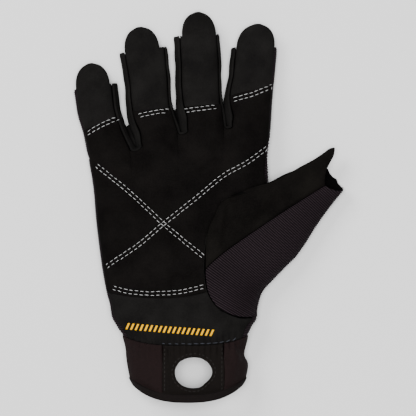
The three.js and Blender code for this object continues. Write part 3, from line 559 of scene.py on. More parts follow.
# Suede nap: the colour mixed toward a brushed tone by broad noise, plus fine fibre height.
def suedeGroup():
    group, given, result = addGroup("suedeNap", {
        "Colour": (0.01, 0.01, 0.01, 1), "Brushed": (0.02, 0.02, 0.02, 1), "Patch Size": 60.0,
        "Fibre Size": 1800.0, "Shading": 0.5}, ["Colour", "Height", "Roughness"])
    place = addNode(group, "ShaderNodeTexCoord").outputs["Object"]
    broad = addNode(group, "ShaderNodeTexNoise", None, Vector=place, Scale=given.outputs["Patch Size"],
                    Detail=4.0, Roughness=0.55).outputs["Fac"]
    fibre = addNode(group, "ShaderNodeTexNoise", None, Vector=place, Scale=given.outputs["Fibre Size"],
                    Detail=3.0, Roughness=0.7).outputs["Fac"]
    share = addNode(group, "ShaderNodeMapRange", None, Value=broad, From_Min=0.36, From_Max=0.68).outputs[0]
    grain = addNode(group, "ShaderNodeMapRange", None, Value=fibre, From_Min=0.3, From_Max=0.7).outputs[0]
    both = mathNode(group, "MULTIPLY", mathNode(group, "ADD", share, grain), given.outputs["Shading"])
    colour = mixColour(group, both, given.outputs["Colour"], given.outputs["Brushed"])
    group.links.new(colour, result.inputs["Colour"])
    group.links.new(fibre, result.inputs["Height"])
    rough = mathNode(group, "ADD", mathNode(group, "MULTIPLY", grain, 0.08), 0.88)
    group.links.new(rough, result.inputs["Roughness"])
    return group


# Knit: rows of small loops along and across the cloth, as colour and height. The mesh's own attribute "sunk"
# is 1 in the grooves between ribs, where the colour is darkened as painted shade.
def knitGroup():
    group, given, result = addGroup("knitLoops", {
        "Colour": (0.02, 0.015, 0.016, 1), "Light": (0.04, 0.03, 0.034, 1), "Loops Across": 7.0,
        "Loops Along": 7.0, "Fleck": 0.5, "Groove Shade": 0.0}, ["Colour", "Height"])
    cloth = addNode(group, "ShaderNodeUVMap", {"uv_map": "cloth"}).outputs["UV"]
    apart = addNode(group, "ShaderNodeSeparateXYZ", None, Vector=cloth)
    wave = []
    for axis, label in (("X", "Loops Across"), ("Y", "Loops Along")):
        turn = mathNode(group, "MULTIPLY", apart.outputs[axis], given.outputs[label])
        wave.append(mathNode(group, "ABSOLUTE", mathNode(group, "COSINE", turn)))
    height = mathNode(group, "MULTIPLY", wave[0], wave[1])
    place = addNode(group, "ShaderNodeTexCoord").outputs["Object"]
    noise = addNode(group, "ShaderNodeTexNoise", None, Vector=place, Scale=900.0, Detail=3.0).outputs["Fac"]
    fleck = mathNode(group, "MULTIPLY", noise, given.outputs["Fleck"])
    share = mathNode(group, "MULTIPLY", mathNode(group, "ADD", height, fleck), 0.6)
    # Painted shade: the colour is darkened in the rib grooves by the groove shade amount.
    sunk = addNode(group, "ShaderNodeAttribute", {"attribute_name": "sunk"}).outputs["Fac"]
    kept = mathNode(group, "SUBTRACT", 1.0, mathNode(group, "MULTIPLY", sunk, given.outputs["Groove Shade"]))
    share = mathNode(group, "MULTIPLY", share, kept)
    colour = mixColour(group, share, given.outputs["Colour"], given.outputs["Light"])
    group.links.new(colour, result.inputs["Colour"])
    group.links.new(height, result.inputs["Height"])
    return group


# One material: an effect group feeds colour, roughness where it has one, and a bump.
def clothMaterial(name, group, values, finish):
    material = bpy.data.materials.new(name)
    material.use_nodes = True
    tree = material.node_tree
    shader = tree.nodes["Principled BSDF"]
    effect = tree.nodes.new("ShaderNodeGroup")
    effect.node_tree = group
    for key, value in values.items():
        effect.inputs[key].default_value = value
    tree.links.new(effect.outputs["Colour"], shader.inputs["Base Color"])
    bump = addNode(tree, "ShaderNodeBump", None, Strength=finish["bump"], Distance=finish["bumpDepth"] / 1000,
                   Height=effect.outputs["Height"])
    tree.links.new(bump.outputs["Normal"], shader.inputs["Normal"])
    shader.inputs["Roughness"].default_value = finish["roughness"]
    if "Roughness" in effect.outputs:
        tree.links.new(effect.outputs["Roughness"], shader.inputs["Roughness"])
    shader.inputs["Specular IOR Level"].default_value = finish["gloss"]
    shader.inputs["Sheen Weight"].default_value = finish["sheen"]
    shader.inputs["Sheen Roughness"].default_value = 0.5
    return material


# Light values of a screen colour from 0 to 255: the usual power of 2.4, straight near black.
def plainColour(r, g, b):
    return tuple(((c / 255 + 0.055) / 1.055) ** 2.4 if c > 10 else c / 255 / 12.92
                 for c in (r, g, b)) + (1.0,)


suede, knit = suedeGroup(), knitGroup()
suedeFinish = {"roughness": 0.95, "gloss": 0.03, "sheen": 0.0, "bump": 0.5, "bumpDepth": 0.25}
knitFinish = {"roughness": 0.9, "gloss": 0.05, "sheen": 0.0, "bump": 0.6, "bumpDepth": 0.2}
threadFinish = {"roughness": 0.6, "gloss": 0.4, "sheen": 0.0, "bump": 0.3, "bumpDepth": 0.1}


# Suede, thread or print from its two tones, with the sizes of its brushed patches and fibres.
def napMaterial(name, dark, light, patchSize, fibreSize, finish):
    return clothMaterial(name, suede, {
        "Colour": plainColour(*dark), "Brushed": plainColour(*light), "Patch Size": patchSize,
        "Fibre Size": fibreSize, "Shading": 0.5}, finish)


# Knit or weave from its two tones, with its loops and flecks and how much painted shade darkens its grooves.
def knitMaterial(name, dark, light, loopsAcross, loopsAlong, fleck, groove=0.0):
    return clothMaterial(name, knit, {
        "Colour": plainColour(*dark), "Light": plainColour(*light), "Loops Across": loopsAcross,
        "Loops Along": loopsAlong, "Fleck": fleck, "Groove Shade": groove}, knitFinish)


overlaySuede = napMaterial("overlay_suede", (5, 4, 4), (20, 18, 17), 55.0, 1500.0, suedeFinish)
palmSuede = napMaterial("palm_suede", (13, 12, 12), (28, 27, 26), 70.0, 1500.0, suedeFinish)
thumbSuede = napMaterial("thumb_suede", (6, 5, 5), (22, 20, 18), 60.0, 1500.0, suedeFinish)
# Rib knit: its grooves carry strong painted shade.
ribKnit = knitMaterial("rib_knit", (4, 3, 4), (56, 46, 51), 4.0, 0.0, 0.8, 0.95)
wovenSide = knitMaterial("woven_side", (15, 11, 11), (40, 29, 29), 7.0, 7.0, 0.6)
wovenPatch = knitMaterial("woven_patch", (12, 10, 9), (31, 27, 25), 6.0, 6.0, 0.5)
bindingTape = knitMaterial("binding_tape", (11, 9, 9), (34, 29, 28), 5.0, 8.0, 0.4)
# Inner sides of all sheets: near-black, painted shade inside the glove.
insideShadeCloth = napMaterial("inside_painted_shade", (4, 4, 4), (11, 10, 10), 80.0, 1500.0, suedeFinish)
whiteThread = napMaterial("white_thread", (165, 165, 165), (215, 215, 215), 900.0, 5000.0, threadFinish)
darkThread = napMaterial("dark_thread", (20, 18, 17), (38, 34, 33), 900.0, 5000.0, threadFinish)
bindingThread = napMaterial("binding_thread", (28, 25, 25), (50, 46, 46), 900.0, 5000.0, threadFinish)
blueThread = napMaterial("blue_grey_thread", (28, 30, 35), (56, 59, 68), 900.0, 5000.0, threadFinish)
print("materials ready")

# Hand part

cloth = {"sheet": 1.1, "overlay": 0.9, "lift": 0.9, "ribPitch": 1.15, "ribDepth": 0.5,
         "ribRound": 0.75, "settle": 6}

palm = {"fingerColumns": 30, "crotchColumns": 10, "rungs": 170, "fingerSteps": 60, "tongueSteps": 26,
        "tongueReach": 13, "tonguePower": 2.2, "tongueTip": 0.97, "droop": 0.8, "rootFade": 0.24,
        "startFade": 0.1, "rootSlope": 0.1, "rootEven": 3.5, "evenFade": 0.07, "sideInset": 1.3,
        "wristInset": 1.9, "insetFrom": 0.234, "insetFade": 0.044, "sideTouch": 0.03, "touchFrom": 0.52,
        "touchFade": 0.15, "tipBow": 0.45, "thumbFrom": 0.195, "thumbTo": 0.905, "thumbFade": 0.03,
        "sagFrom": 0.8, "sagOver": 0.2, "roll": (0.45, 0.9), "broad": (0.35, 28, 3), "fine": (0.12, 9, 5)}


# Roots of the four fingers and the crotches between them, as one line of points.
def rootLine(rootPoints, perCrotch):
    line = []
    turns = np.linspace(0, 1, perCrotch + 2)[1:-1]
    for k, root in enumerate(rootPoints):
        line.append(root)
        if k + 1 < len(rootPoints):
            line.append(crotchPoints(root[-1], rootPoints[k + 1][0], turns))
    return np.concatenate(line)


# Palm side of one finger: reach runs from the root to the end, share from left seam to right.
def fingerPalm(finger, reach, share):
    seam = seamAngles(finger, reach, halfGap)
    angle = mix(seam["palmLeft"][:, None], seam["palmRight"][:, None], share[None, :])
    return fingerPoint(finger, reach[:, None], angle)


# The palm's side seams move further in near the wrist.
def sideInset(y):
    down = (along(palm["insetFrom"]) - y) / (palm["insetFade"] * gloveLength)
    return palm["sideInset"] + palm["wristInset"] * smooth(down)


# Gap that palm and back each give up at the side seams: half the usual one, less near the wrist.
def sideGap(y):
    down = (along(palm["touchFrom"]) - y) / (palm["touchFade"] * gloveLength)
    return mix(halfGap, palm["sideTouch"], smooth(down))


# Sag of the rungs near the wrist: the wrist seam's own sag, growing over the last rungs.
def rungSag(x, r):
    return (seams["wrist"] - wristSeamAt(x) - halfGap) * smooth((r - palm["sagFrom"]) / palm["sagOver"])


# Places of the palm's rungs seen from above: each rung is straight from its left end to its
# right one, with the roots' bends fading out over the first rungs.
def palmPlaces(root, r, inset):
    share = np.clip((root[:, 0] - root[0, 0]) / (root[-1, 0] - root[0, 0]), 0, 1)[None, :]
    leftY = along(readColumn(palmRungs, "rung", "leftUp", r))
    leftX = leftAt(leftY) + sideInset(leftY) + sideGap(leftY) + inset
    atThumb = smooth((r - palm["thumbFrom"]) / palm["thumbFade"])
    atThumb = atThumb * smooth((palm["thumbTo"] - r) / palm["thumbFade"])
    edge = rungRight(palmRungs, r, np.full(r.shape, -halfGap - inset))
    edgeX = edge[..., 0] - (1 - atThumb) * (sideInset(leftY) + sideGap(leftY) - halfGap)
    x = mix(leftX, edgeX, share)
    bend = root[None, :, 1] - mix(root[0, 1], root[-1, 1], share)
    y = mix(leftY, edge[..., 1], share) + bend * (1 - smooth(r / palm["rootFade"])) - rungSag(x, r)
    return x, y


# Palm from the root line down to the wrist seam: the rungs' places, moved near the roots so
# that they start on them, with heights that leave the roots' own slope little by little.
def palmRows(root, r, inset=0.0):
    x, y = palmPlaces(root, r, inset)
    startX, startY = palmPlaces(root, r[:1] * 0, inset)
    left = 1 - smooth(r / palm["startFade"])
    x, y = x + (root[None, :, 0] - startX) * left, y + (root[None, :, 1] - startY) * left
    settled = smooth(r / palm["rootFade"])
    spacing = np.gradient(root[:, 0])
    near = np.exp(-((root[:, None, 0] - root[None, :, 0]) / palm["rootEven"]) ** 2)
    near = near * np.maximum(spacing, 0)[None, :]
    evened = (near * root[None, :, 2]).sum(1) / near.sum(1)
    rootHeight = mix(root[None, :, 2], evened[None, :], smooth(r / palm["evenFade"]))
    sloped = rootHeight + palm["rootSlope"] * (root[None, :, 1] - y) * (1 - settled)
    return np.stack([x, y, mix(sloped, palmHeightAt(x, y), settled)], -1)


# Tongue beyond a finger's end: its half width shrinks along a superellipse and its arch
# flattens toward the tip, which droops a little.
def tongueRows(base, forward):
    share = np.sin(np.linspace(0, np.arcsin(palm["tongueTip"]), palm["tongueSteps"]))[:, None]
    narrow = (1 - share ** palm["tonguePower"]) ** (1 / palm["tonguePower"])
    middle = (base[0] + base[-1]) / 2
    rows = middle + (base[None, :, :] - middle) * narrow[..., None]
    rows[..., 2] = mix(base[:, 2].max(), base[None, :, 2], narrow) - palm["droop"] * share ** 2
    aside = np.linspace(-1, 1, len(base))[None, :]
    reachOut = palm["tongueReach"] * share + palm["tipBow"] * share ** 8 * (1 - aside ** 2)
    return rows + forward * reachOut[..., None]


# Column shares across a finger, and the first and last column of its tongue. The tongue's
# limits are shares of the finger's full width, and one column lies on each.
def tongueColumns(finger):
    one, last = np.array([1.0]), palm["fingerColumns"]
    seam = seamAngles(finger, one, halfGap)
    half = (fingerSide(finger, "right", one) - fingerSide(finger, "left", one)) / 2
    power = heights["upperPower"]
    angles = [180 - insetAngle(half, 2 * half * finger["tongueFrom"], power),
              insetAngle(half, 2 * half * (1 - finger["tongueTo"]), power)]
    place = [float(np.clip((a - seam["palmLeft"]) / (seam["palmRight"] - seam["palmLeft"]), 0, 1)[0])
             for a in angles]
    column = [int(round(p * last)) for p in place]
    knots = sorted({(0, 0.0), (last, 1.0)} | {(c, p) for c, p in zip(column, place) if 0 < c < last})
    share = np.interp(np.arange(last + 1), [k[0] for k in knots], [k[1] for k in knots])
    return share, column[0], column[1]


reach = np.linspace(0, 1, palm["fingerSteps"] + 1)
fingerGrids, tongues = [], []
for finger in fingers:
    share, first, last = tongueColumns(finger)
    grid = fingerPalm(finger, reach, share)
    forward = (fingerPoint(finger, 1.0, 90.0) - fingerPoint(finger, 0.75, 90.0)) * np.array([1, 1, 0])
    fingerGrids.append(grid)
    tongues.append(tongueRows(grid[-1, first:last + 1], forward / np.linalg.norm(forward)))
palmRoot = rootLine([grid[0] for grid in fingerGrids], palm["crotchColumns"])
handGrid = palmRows(palmRoot, np.linspace(0, 1, palm["rungs"] + 1)[:, None])
palmGrids = [handGrid[::-1]] + fingerGrids + tongues
palmSurface = joinGrids(*palmGrids)
print("palm grid", len(palmSurface["points"]))

# Creases pressed into the worn palm, in millimetres from the middle of the hand.
palmCreases = tableOf("from to width depth",
    ((-30, 42), (-8, 30), 3.5, -0.9), ((-2, 45), (6, 26), 3, -0.8), ((22, 40), (30, 18), 4, -0.7),
    ((-48, 20), (-30, -6), 4, -0.6), ((-10, 16), (18, 8), 5, 0.6), ((-20, -22), (-4, -40), 4, -0.5),
    ((4, 2), (26, 14), 3, 0.7))


# Worn shape of the palm and of the overlay on it: broad waves and fine ones together.
def wornPalm(points):
    return rough(points, *palm["broad"]) + rough(points, *palm["fine"])


palmEdge = edgePoints(palmSurface)
palmWorn = fadeAtEdges(palmSurface, wornPalm(palmSurface["points"]))
raiseBy(palmSurface, palmWorn + creases(palmSurface["points"], palmCreases))

# The wrist seam is eased in: small gathers fade out above it.
gather = {"pitch": 3.4, "height": 0.45, "reach": 5.5, "sideFade": 9}
aboveSeam = palmSurface["points"][:, 1] - wristSeamAt(palmSurface["points"][:, 0])


# Ripples of the eased seam across the glove, none at its two sides.
def gathers(points):
    x, y = points[:, 0], points[:, 1]
    inside = np.minimum(x - leftAt(y), rightAt(y) - x)
    return gather["height"] * np.sin(2 * np.pi * x / gather["pitch"]) * smooth(inside / gather["sideFade"])


raiseBy(palmSurface, gathers(palmSurface["points"]) * np.exp(-(aboveSeam / gather["reach"]) ** 2))
rollEdges(palmSurface, *palm["roll"])
sheetPiece("glove_palm", palmSurface, cloth["sheet"], palmSuede, ["palm_panel"])

# Overlay: the palm's own shape, up each finger to its bar, raised by one layer.
overlay = {"inset": 0.4, "shareInset": 0.02, "lowerRung": 0.711, "lowerSag": 0.021, "rungs": 190,
           "fingerSteps": 34, "groove": 0.42, "grooveWidth": 0.75, "groovePlace": 1, "pillow": 0.25,
           "pillowPlace": 4, "pillowWidth": 2.5, "pathStep": 0.8, "roll": (0.4, 0.7)}

# Double rows of stitches, as paths through places seen from above.
stitchPaths = {
    "little bar": [(-67.6, 41.2), (-59.5, 45.8), (-49.8, 50.2)],
    "ring bar": [(-38.6, 51.2), (-30.5, 53), (-22.2, 54.2)],
    "middle bar": [(-13, 54), (-4, 55.2), (5.9, 56.4)],
    "index bar": [(14.2, 60.2), (26, 63.6), (36.8, 68.2)],
    "first diagonal": [(-62, 23.5), (-43, 8.2), (-24.4, -9), (-13, -18.6), (-2.6, -27)],
    "second diagonal": [(-56.6, -33), (-38, -20.5), (-24.4, -9), (-6, 5.5), (10, 18.5), (21, 24.5),
                        (34.2, 34)],
    "lower curve": [(-53.4, -44.4), (-43, -46.8), (-31, -47.7), (-17, -47), (-1.9, -43.8)],
}


# Even places along a smooth line through a path's rows, with the direction at each.
def walk(path, pitch, start=0.0):
    rows = np.array(path, float)
    length = np.concatenate([[0], np.cumsum(np.linalg.norm(np.diff(rows, axis=0), axis=1))])
    table = [{"s": s, "x": row[0], "y": row[1]} for s, row in zip(length, rows)]
    fine = np.linspace(0, length[-1], 400)
    line = np.stack([readColumn(table, "s", "x", fine), readColumn(table, "s", "y", fine)], -1)
    distance = np.concatenate([[0], np.cumsum(np.linalg.norm(np.diff(line, axis=0), axis=1))])
    place = np.arange(start, distance[-1], pitch)

    def placeAt(run):
        return np.stack([np.interp(run, distance, line[:, 0]), np.interp(run, distance, line[:, 1])], -1)
    ahead = placeAt(place + 0.5) - placeAt(place - 0.5)
    return placeAt(place), ahead / np.linalg.norm(ahead, axis=1, keepdims=True)


overlayShare = np.linspace(overlay["shareInset"], 1 - overlay["shareInset"], palm["fingerColumns"] + 1)
overlayFingers = []
for finger in fingers:
    bar = mix(finger["barLeft"], finger["barRight"], overlayShare)[None, :]
    barReach = np.linspace(0, 1, overlay["fingerSteps"] + 1)[:, None] * bar
    seam = seamAngles(finger, barReach, halfGap)
    barAngle = mix(seam["palmLeft"], seam["palmRight"], overlayShare[None, :])
    overlayFingers.append(fingerPoint(finger, barReach, barAngle))
overlayRoot = rootLine([grid[0] for grid in overlayFingers], palm["crotchColumns"])
crossShare = (overlayRoot[:, 0] - overlayRoot[0, 0]) / (overlayRoot[-1, 0] - overlayRoot[0, 0])
lowest = overlay["lowerRung"] + overlay["lowerSag"] * (1 - (2 * crossShare - 1) ** 2)
overlayRungs = np.linspace(0, 1, overlay["rungs"] + 1)[:, None] * lowest[None, :]
overlayHand = palmRows(overlayRoot, overlayRungs, overlay["inset"])
overlaySurface = joinGrids(overlayHand[::-1], *overlayFingers)
flat = overlaySurface["points"]
overlayWorn = fadeAtEdges(overlaySurface, wornPalm(flat), palmEdge)
raiseBy(overlaySurface, overlayWorn + creases(flat, palmCreases))
raiseBy(overlaySurface, np.full(len(flat), cloth["lift"]))
stitchLines = [walk(path, overlay["pathStep"])[0] for path in stitchPaths.values()]
toStitches = np.min([pathDistance(overlaySurface["points"], line) for line in stitchLines], axis=0)
pressed = overlay["groove"] * np.exp(-((toStitches - overlay["groovePlace"]) / overlay["grooveWidth"]) ** 2)
pressed -= overlay["pillow"] * np.exp(-((toStitches - overlay["pillowPlace"]) / overlay["pillowWidth"]) ** 2)
raiseBy(overlaySurface, -pressed)
rollEdges(overlaySurface, *overlay["roll"])
sheetPiece("glove_overlay", overlaySurface, cloth["overlay"], overlaySuede, ["palm_overlay"])


# Threads: each stitch is a bent capsule whose middle stands proud and whose ends dive in.
def stitchMesh(name, middle, ahead, height, facing, sizes, material, seed):
    random = np.random.default_rng(seed)
    count = len(middle)
    s = np.linspace(-1, 1, sizes["rings"])
    turn = np.linspace(0, 2 * np.pi, sizes["sides"], endpoint=False)
    length = sizes["length"] / 2 * random.uniform(0.88, 1.08, count)
    radius = sizes["thread"] / 2 * random.uniform(0.9, 1.12, count)
    tilt = random.normal(0, sizes["tilt"], count)
    run = np.stack([ahead[:, 0] * np.cos(tilt) - ahead[:, 1] * np.sin(tilt),
                    ahead[:, 0] * np.sin(tilt) + ahead[:, 1] * np.cos(tilt), np.zeros(count)], -1)
    up = facing / np.linalg.norm(facing, axis=1, keepdims=True)
    run -= up * (run * up).sum(1, keepdims=True)
    run /= np.linalg.norm(run, axis=1, keepdims=True)
    aside = np.cross(up, run)
    origin = np.concatenate([middle, height[:, None]], 1)
    reach = s[None, :] * length[:, None]
    proud = radius[:, None] * (sizes["proud"] - sizes["dive"] * np.abs(s)[None, :] ** 3)
    thick = radius[:, None] * np.sqrt(np.clip(1.02 - np.abs(s)[None, :] ** 3, 0.02, 1))
    centre = origin[:, None] + run[:, None] * reach[..., None] + up[:, None] * proud[..., None]
    ring = (aside[:, None, None] * np.cos(turn)[None, None, :, None]
            + up[:, None, None] * np.sin(turn)[None, None, :, None])
    points = centre[:, :, None] + ring * thick[:, :, None, None]
    ends = np.stack([centre[:, 0], centre[:, -1]], 1)
    perStitch = sizes["rings"] * sizes["sides"] + 2
    vertices = np.concatenate([points.reshape(count, -1, 3), ends], 1).reshape(-1, 3)
    k = np.arange(sizes["sides"])
    after = (k + 1) % sizes["sides"]
    ringStart = np.arange(sizes["rings"] - 1)[:, None] * sizes["sides"]
    i, j = ringStart + k[None, :], ringStart + after[None, :]
    body = np.stack([i, j, j + sizes["sides"], i + sizes["sides"]], -1).reshape(-1, 4)
    tail = (sizes["rings"] - 1) * sizes["sides"]
    first, last = np.full_like(k, perStitch - 2), np.full_like(k, perStitch - 1)
    frontCap = np.stack([first, after, k, k], -1)
    backCap = np.stack([last, tail + k, tail + after, tail + after], -1)
    quads = np.concatenate([body, frontCap, backCap])
    quads = (quads[None] + (np.arange(count) * perStitch)[:, None, None]).reshape(-1, 4)
    uv = vertices[quads][..., :2]
    return makeMesh(name, vertices + shift, quads, uv, [material])


whiteStitch = {"pitch": 3.05, "length": 2.5, "thread": 0.27, "spacing": 1.95, "proud": 0.4, "dive": 1.3,
               "tilt": 0.04, "scatter": 0.06, "rings": 6, "sides": 6}


# Rows of stitches on both sides of each path, every row with its own start.
def stitchRows(name, paths, surface, sizes, offsets, material, seed):
    random = np.random.default_rng(seed)
    middle, ahead = [], []
    for path in paths:
        for offset in offsets:
            place, run = walk(path, sizes["pitch"], sizes["pitch"] * random.uniform(0.3, 0.7))
            aside = offset + random.normal(0, sizes["scatter"], (len(place), 1))
            middle.append(place + np.stack([-run[:, 1], run[:, 0]], -1) * aside)
            ahead.append(run)
    middle, ahead = np.concatenate(middle), np.concatenate(ahead)
    height, facing = surfaceAt(surface, middle)
    mesh = stitchMesh(name, middle, ahead, height, facing, sizes, material, seed + 1)
    return placePiece(name, mesh, [])


stitchRows("palm_stitches", stitchPaths.values(), overlaySurface, whiteStitch,
           (-whiteStitch["spacing"] / 2, whiteStitch["spacing"] / 2), whiteThread, 11)

# Fourchettes: narrow strips between the fingers, with a raised lip along the palm's seam.
fourchette = {"bands": 30, "steps": 70, "turns": 14, "lip": 0.45, "lipWidth": 0.7, "lipPlace": 0.9,
              "webReach": 13, "webFrom": 0.4, "webTo": 0.62, "bulge": 0.9, "bulgeFade": 11, "bulgePlace": 3.2,
              "bulgeWidth": 2, "rough": (0.15, 12, 8), "roll": (0.35, 0.7)}


# Length of a finger: the mean rise of its two sides.
def fingerLength(finger):
    first, last = finger["sides"][0], finger["sides"][-1]
    return (last["leftUp"] + last["rightUp"] - first["leftUp"] - first["rightUp"]) / 2 * gloveLength


# Strip round a crotch. Its floor is a web: the deeper a band lies, the further from the
# fingers' roots it crosses from one finger to the other.
def fourchetteGrid(leftFinger, rightFinger):
    band = np.linspace(0, 1, fourchette["bands"] + 1)[None, :]
    run = np.linspace(1, 0, fourchette["steps"] + 1)[:, None]
    deep = smooth((band - fourchette["webFrom"]) / (fourchette["webTo"] - fourchette["webFrom"]))
    web = fourchette["webReach"] * deep
    reachLeft = mix(web / fingerLength(leftFinger), 1, run)
    reachRight = mix(web / fingerLength(rightFinger), 1, run)
    left, right = seamAngles(leftFinger, reachLeft, -halfGap), seamAngles(rightFinger, reachRight, -halfGap)
    leftSide = fingerPoint(leftFinger, reachLeft, mix(left["palmRight"], left["backRight"], band))
    rightSide = fingerPoint(rightFinger, reachRight, mix(right["palmLeft"], 360 + right["backLeft"], band))
    turns = np.linspace(0, 1, fourchette["turns"] + 2)[1:-1]
    crotch = np.stack([crotchPoints(a, b, turns) for a, b in zip(leftSide[-1], rightSide[-1])], 1)
    return np.concatenate([leftSide, crotch, rightSide[::-1]])[::-1]


# Middle between two fingers' facing sides at their roots, seen from above.
def crotchPlace(leftFinger, rightFinger):
    return (fingerPoint(leftFinger, 0.0, 0.0) + fingerPoint(rightFinger, 0.0, 180.0))[:2] / 2


for leftFinger, rightFinger in zip(fingers[:-1], fingers[1:]):
    grid = fourchetteGrid(leftFinger, rightFinger)
    strip = joinGrids(grid)
    seamPoints = grid[:, 0]
    fromSeam = nearest(strip["points"], seamPoints)
    lip = fourchette["lip"] * np.exp(-((fromSeam - fourchette["lipPlace"]) / fourchette["lipWidth"]) ** 2)
    fromCrotch = np.linalg.norm(strip["points"][:, :2] - crotchPlace(leftFinger, rightFinger), axis=1)
    besideLip = (fromSeam - fourchette["bulgePlace"]) / fourchette["bulgeWidth"]
    bulge = fourchette["bulge"] * np.exp(-besideLip ** 2)
    lip += bulge * np.exp(-(fromCrotch / fourchette["bulgeFade"]) ** 2)
    raiseBy(strip, lip + rough(strip["points"], *fourchette["rough"]))
    rollEdges(strip, *fourchette["roll"])
    node = "fourchette_" + leftFinger["name"] + "_" + rightFinger["name"]
    sheetPiece("glove_" + node, strip, cloth["sheet"], palmSuede, [node])


# Rib profile: 0 on the crown of each rib, 1 in the groove beside it.
def ribGroove(distance):
    return (0.5 + 0.5 * np.cos(2 * np.pi * distance / cloth["ribPitch"])) ** cloth["ribRound"]


# Sinks the grooves between ribs, and keeps them as the mesh's own attribute, which the knit also uses to
# paint shade in the grooves.
def addRibs(surface, distance):
    surface["sunk"] = ribGroove(distance)
    return raiseBy(surface, -cloth["ribDepth"] * surface["sunk"])


# Back of the hand
back = {"sideColumns": 7, "underColumns": 12, "perRib": 4, "crotchColumns": 4, "hiddenStep": 0.05,
        "hiddenReach": 0.3, "hiddenFrom": 0.2, "hiddenTo": 0.9, "hiddenFade": 0.08, "ribsTop": 0.64,
        "ribsBottom": 0.17, "rough": (0.2, 30, 21), "roll": (0.6, 0.9)}


# Back of one finger: its underside from seam to seam, and on the outer fingers the turn up to
# the palm's seam with columns of its own.
def fingerBack(finger, reach):
    seam = seamAngles(finger, reach, halfGap)
    under = np.linspace(0, 1, back["underColumns"] + 1)[None, :]
    side = np.linspace(0, 1, back["sideColumns"] + 1)[None, :]
    start = np.full_like(reach, -180.0) if finger["name"] == "little" else seam["backLeft"]
    end = np.zeros_like(reach) if finger["name"] == "index" else seam["backRight"]
    angles = [mix(start, end, under)]
    if finger["name"] == "little":
        angles.insert(0, mix(seam["backLeft"], start, side)[:, :-1])
    if finger["name"] == "index":
        angles.append(mix(end, seam["backRight"], side)[:, 1:])
    return fingerPoint(finger, reach, np.concatenate(angles, 1))


# Share of a rung that runs behind the thumb: an even rise below its first rung, times an even
# fall above its last.
def behindThumb(rung):
    rise = smooth((rung - back["hiddenFrom"]) / back["hiddenFade"])
    return rise * smooth((back["hiddenTo"] - rung) / back["hiddenFade"])


# Back of the hand from the root line down. Side columns turn up to the palm's seams, and
# behind the thumb the right side stays flat.
def backRows(root, r):
    sides, last = back["sideColumns"], len(root) - 1
    column = np.arange(last + 1)[None, :]
    leftY = along(readColumn(backRungs, "rung", "leftUp", r))
    hidden = behindThumb(r)
    leftX = leftAt(leftY)
    edge = rungRight(backRungs, r, mix(-halfGap, back["hiddenReach"], hidden) * np.sign(hidden))
    rightX, rightY = edge[..., 0], edge[..., 1]
    own = np.clip((root[:, 0] - root[sides, 0]) / (root[last - sides, 0] - root[sides, 0]), 0, 1)[None, :]
    turnLeft = np.clip(1 - column / sides, 0, 1)
    turnRight = np.clip(1 - (last - column) / sides, 0, 1)
    shareHidden = np.where(turnRight > 0, 1 - back["hiddenStep"] * (1 - turnRight),
                           own * (1 - back["hiddenStep"]))
    share = mix(own, shareHidden, hidden)
    tuck = sideInset(leftY) - sideGap(leftY)
    x = mix(leftX, rightX, share) + tuck * turnLeft ** 2 - tuck * turnRight ** 2 * (1 - hidden)
    bend = root[None, :, 1] - mix(root[sides, 1], root[last - sides, 1], own)
    settled = smooth(r / palm["rootFade"])
    y = mix(leftY, rightY, share) + bend * (1 - settled) - rungSag(x, r)
    low = undersideAt(leftX, rightX, x)
    seamLeft = palmHeightAt(leftX + tuck, y)
    seamRight = palmHeightAt(rightX - tuck, y)
    z = np.where(turnLeft > 0, mix(heights["side"], seamLeft, np.sin(turnLeft * np.pi / 2)), low)
    z = np.where(turnRight > 0, mix(heights["side"], seamRight, np.sin(turnRight * np.pi / 2)), z)
    z = z * (1 - np.where(own > 0.5, hidden, 0))
    return np.stack([x, y, mix(root[None, :, 2], z, settled)], -1)


backGrids, backRibs = [], []
for finger in fingers:
    ribs = int(round(fingerLength(finger) / cloth["ribPitch"]))
    reach = np.linspace(0, 1, ribs * back["perRib"] + 1)[:, None]
    grid = fingerBack(finger, reach)
    backGrids.append(grid)
    backRibs.append(np.broadcast_to(reach * ribs * cloth["ribPitch"], grid.shape[:2]))
backRoot = rootLine([grid[0] for grid in backGrids], back["crotchColumns"])
handCount = int(round((back["ribsTop"] - back["ribsBottom"]) * gloveLength / cloth["ribPitch"]))
handRung = np.linspace(0, 1, handCount * back["perRib"] + 1)[:, None]
backHand = backRows(backRoot, handRung)
handRibs = np.broadcast_to(handRung * handCount * cloth["ribPitch"], backHand.shape[:2])
webRows = int(round(fourchette["webReach"] / cloth["ribPitch"] * back["perRib"]))
webTurns = np.linspace(0, 1, back["crotchColumns"] + 2)
for left, right in zip(backGrids[:-1], backGrids[1:]):
    web = np.stack([crotchPoints(left[i, -1], right[i, 0], webTurns) for i in range(webRows + 1)])
    web[:, 0], web[:, -1] = left[:webRows + 1, -1], right[:webRows + 1, 0]
    webRibs = np.arange(webRows + 1)[:, None] * cloth["ribPitch"] / back["perRib"]
    backGrids = backGrids + [web]
    backRibs = backRibs + [webRibs * np.ones(web.shape[:2])]
backSurface = joinGrids(backHand, *[grid[::-1] for grid in backGrids])
ribPlace = np.zeros(len(backSurface["points"]))
ribPlace[backSurface["origin"]] = np.concatenate([handRibs.ravel()] + [r[::-1].ravel() for r in backRibs])
addRibs(backSurface, ribPlace)
raiseBy(backSurface, fadeAtEdges(backSurface, rough(backSurface["points"], *back["rough"])))
rollEdges(backSurface, *back["roll"])
sheetPiece("glove_back", backSurface, cloth["sheet"], ribKnit, ["back_panel"])

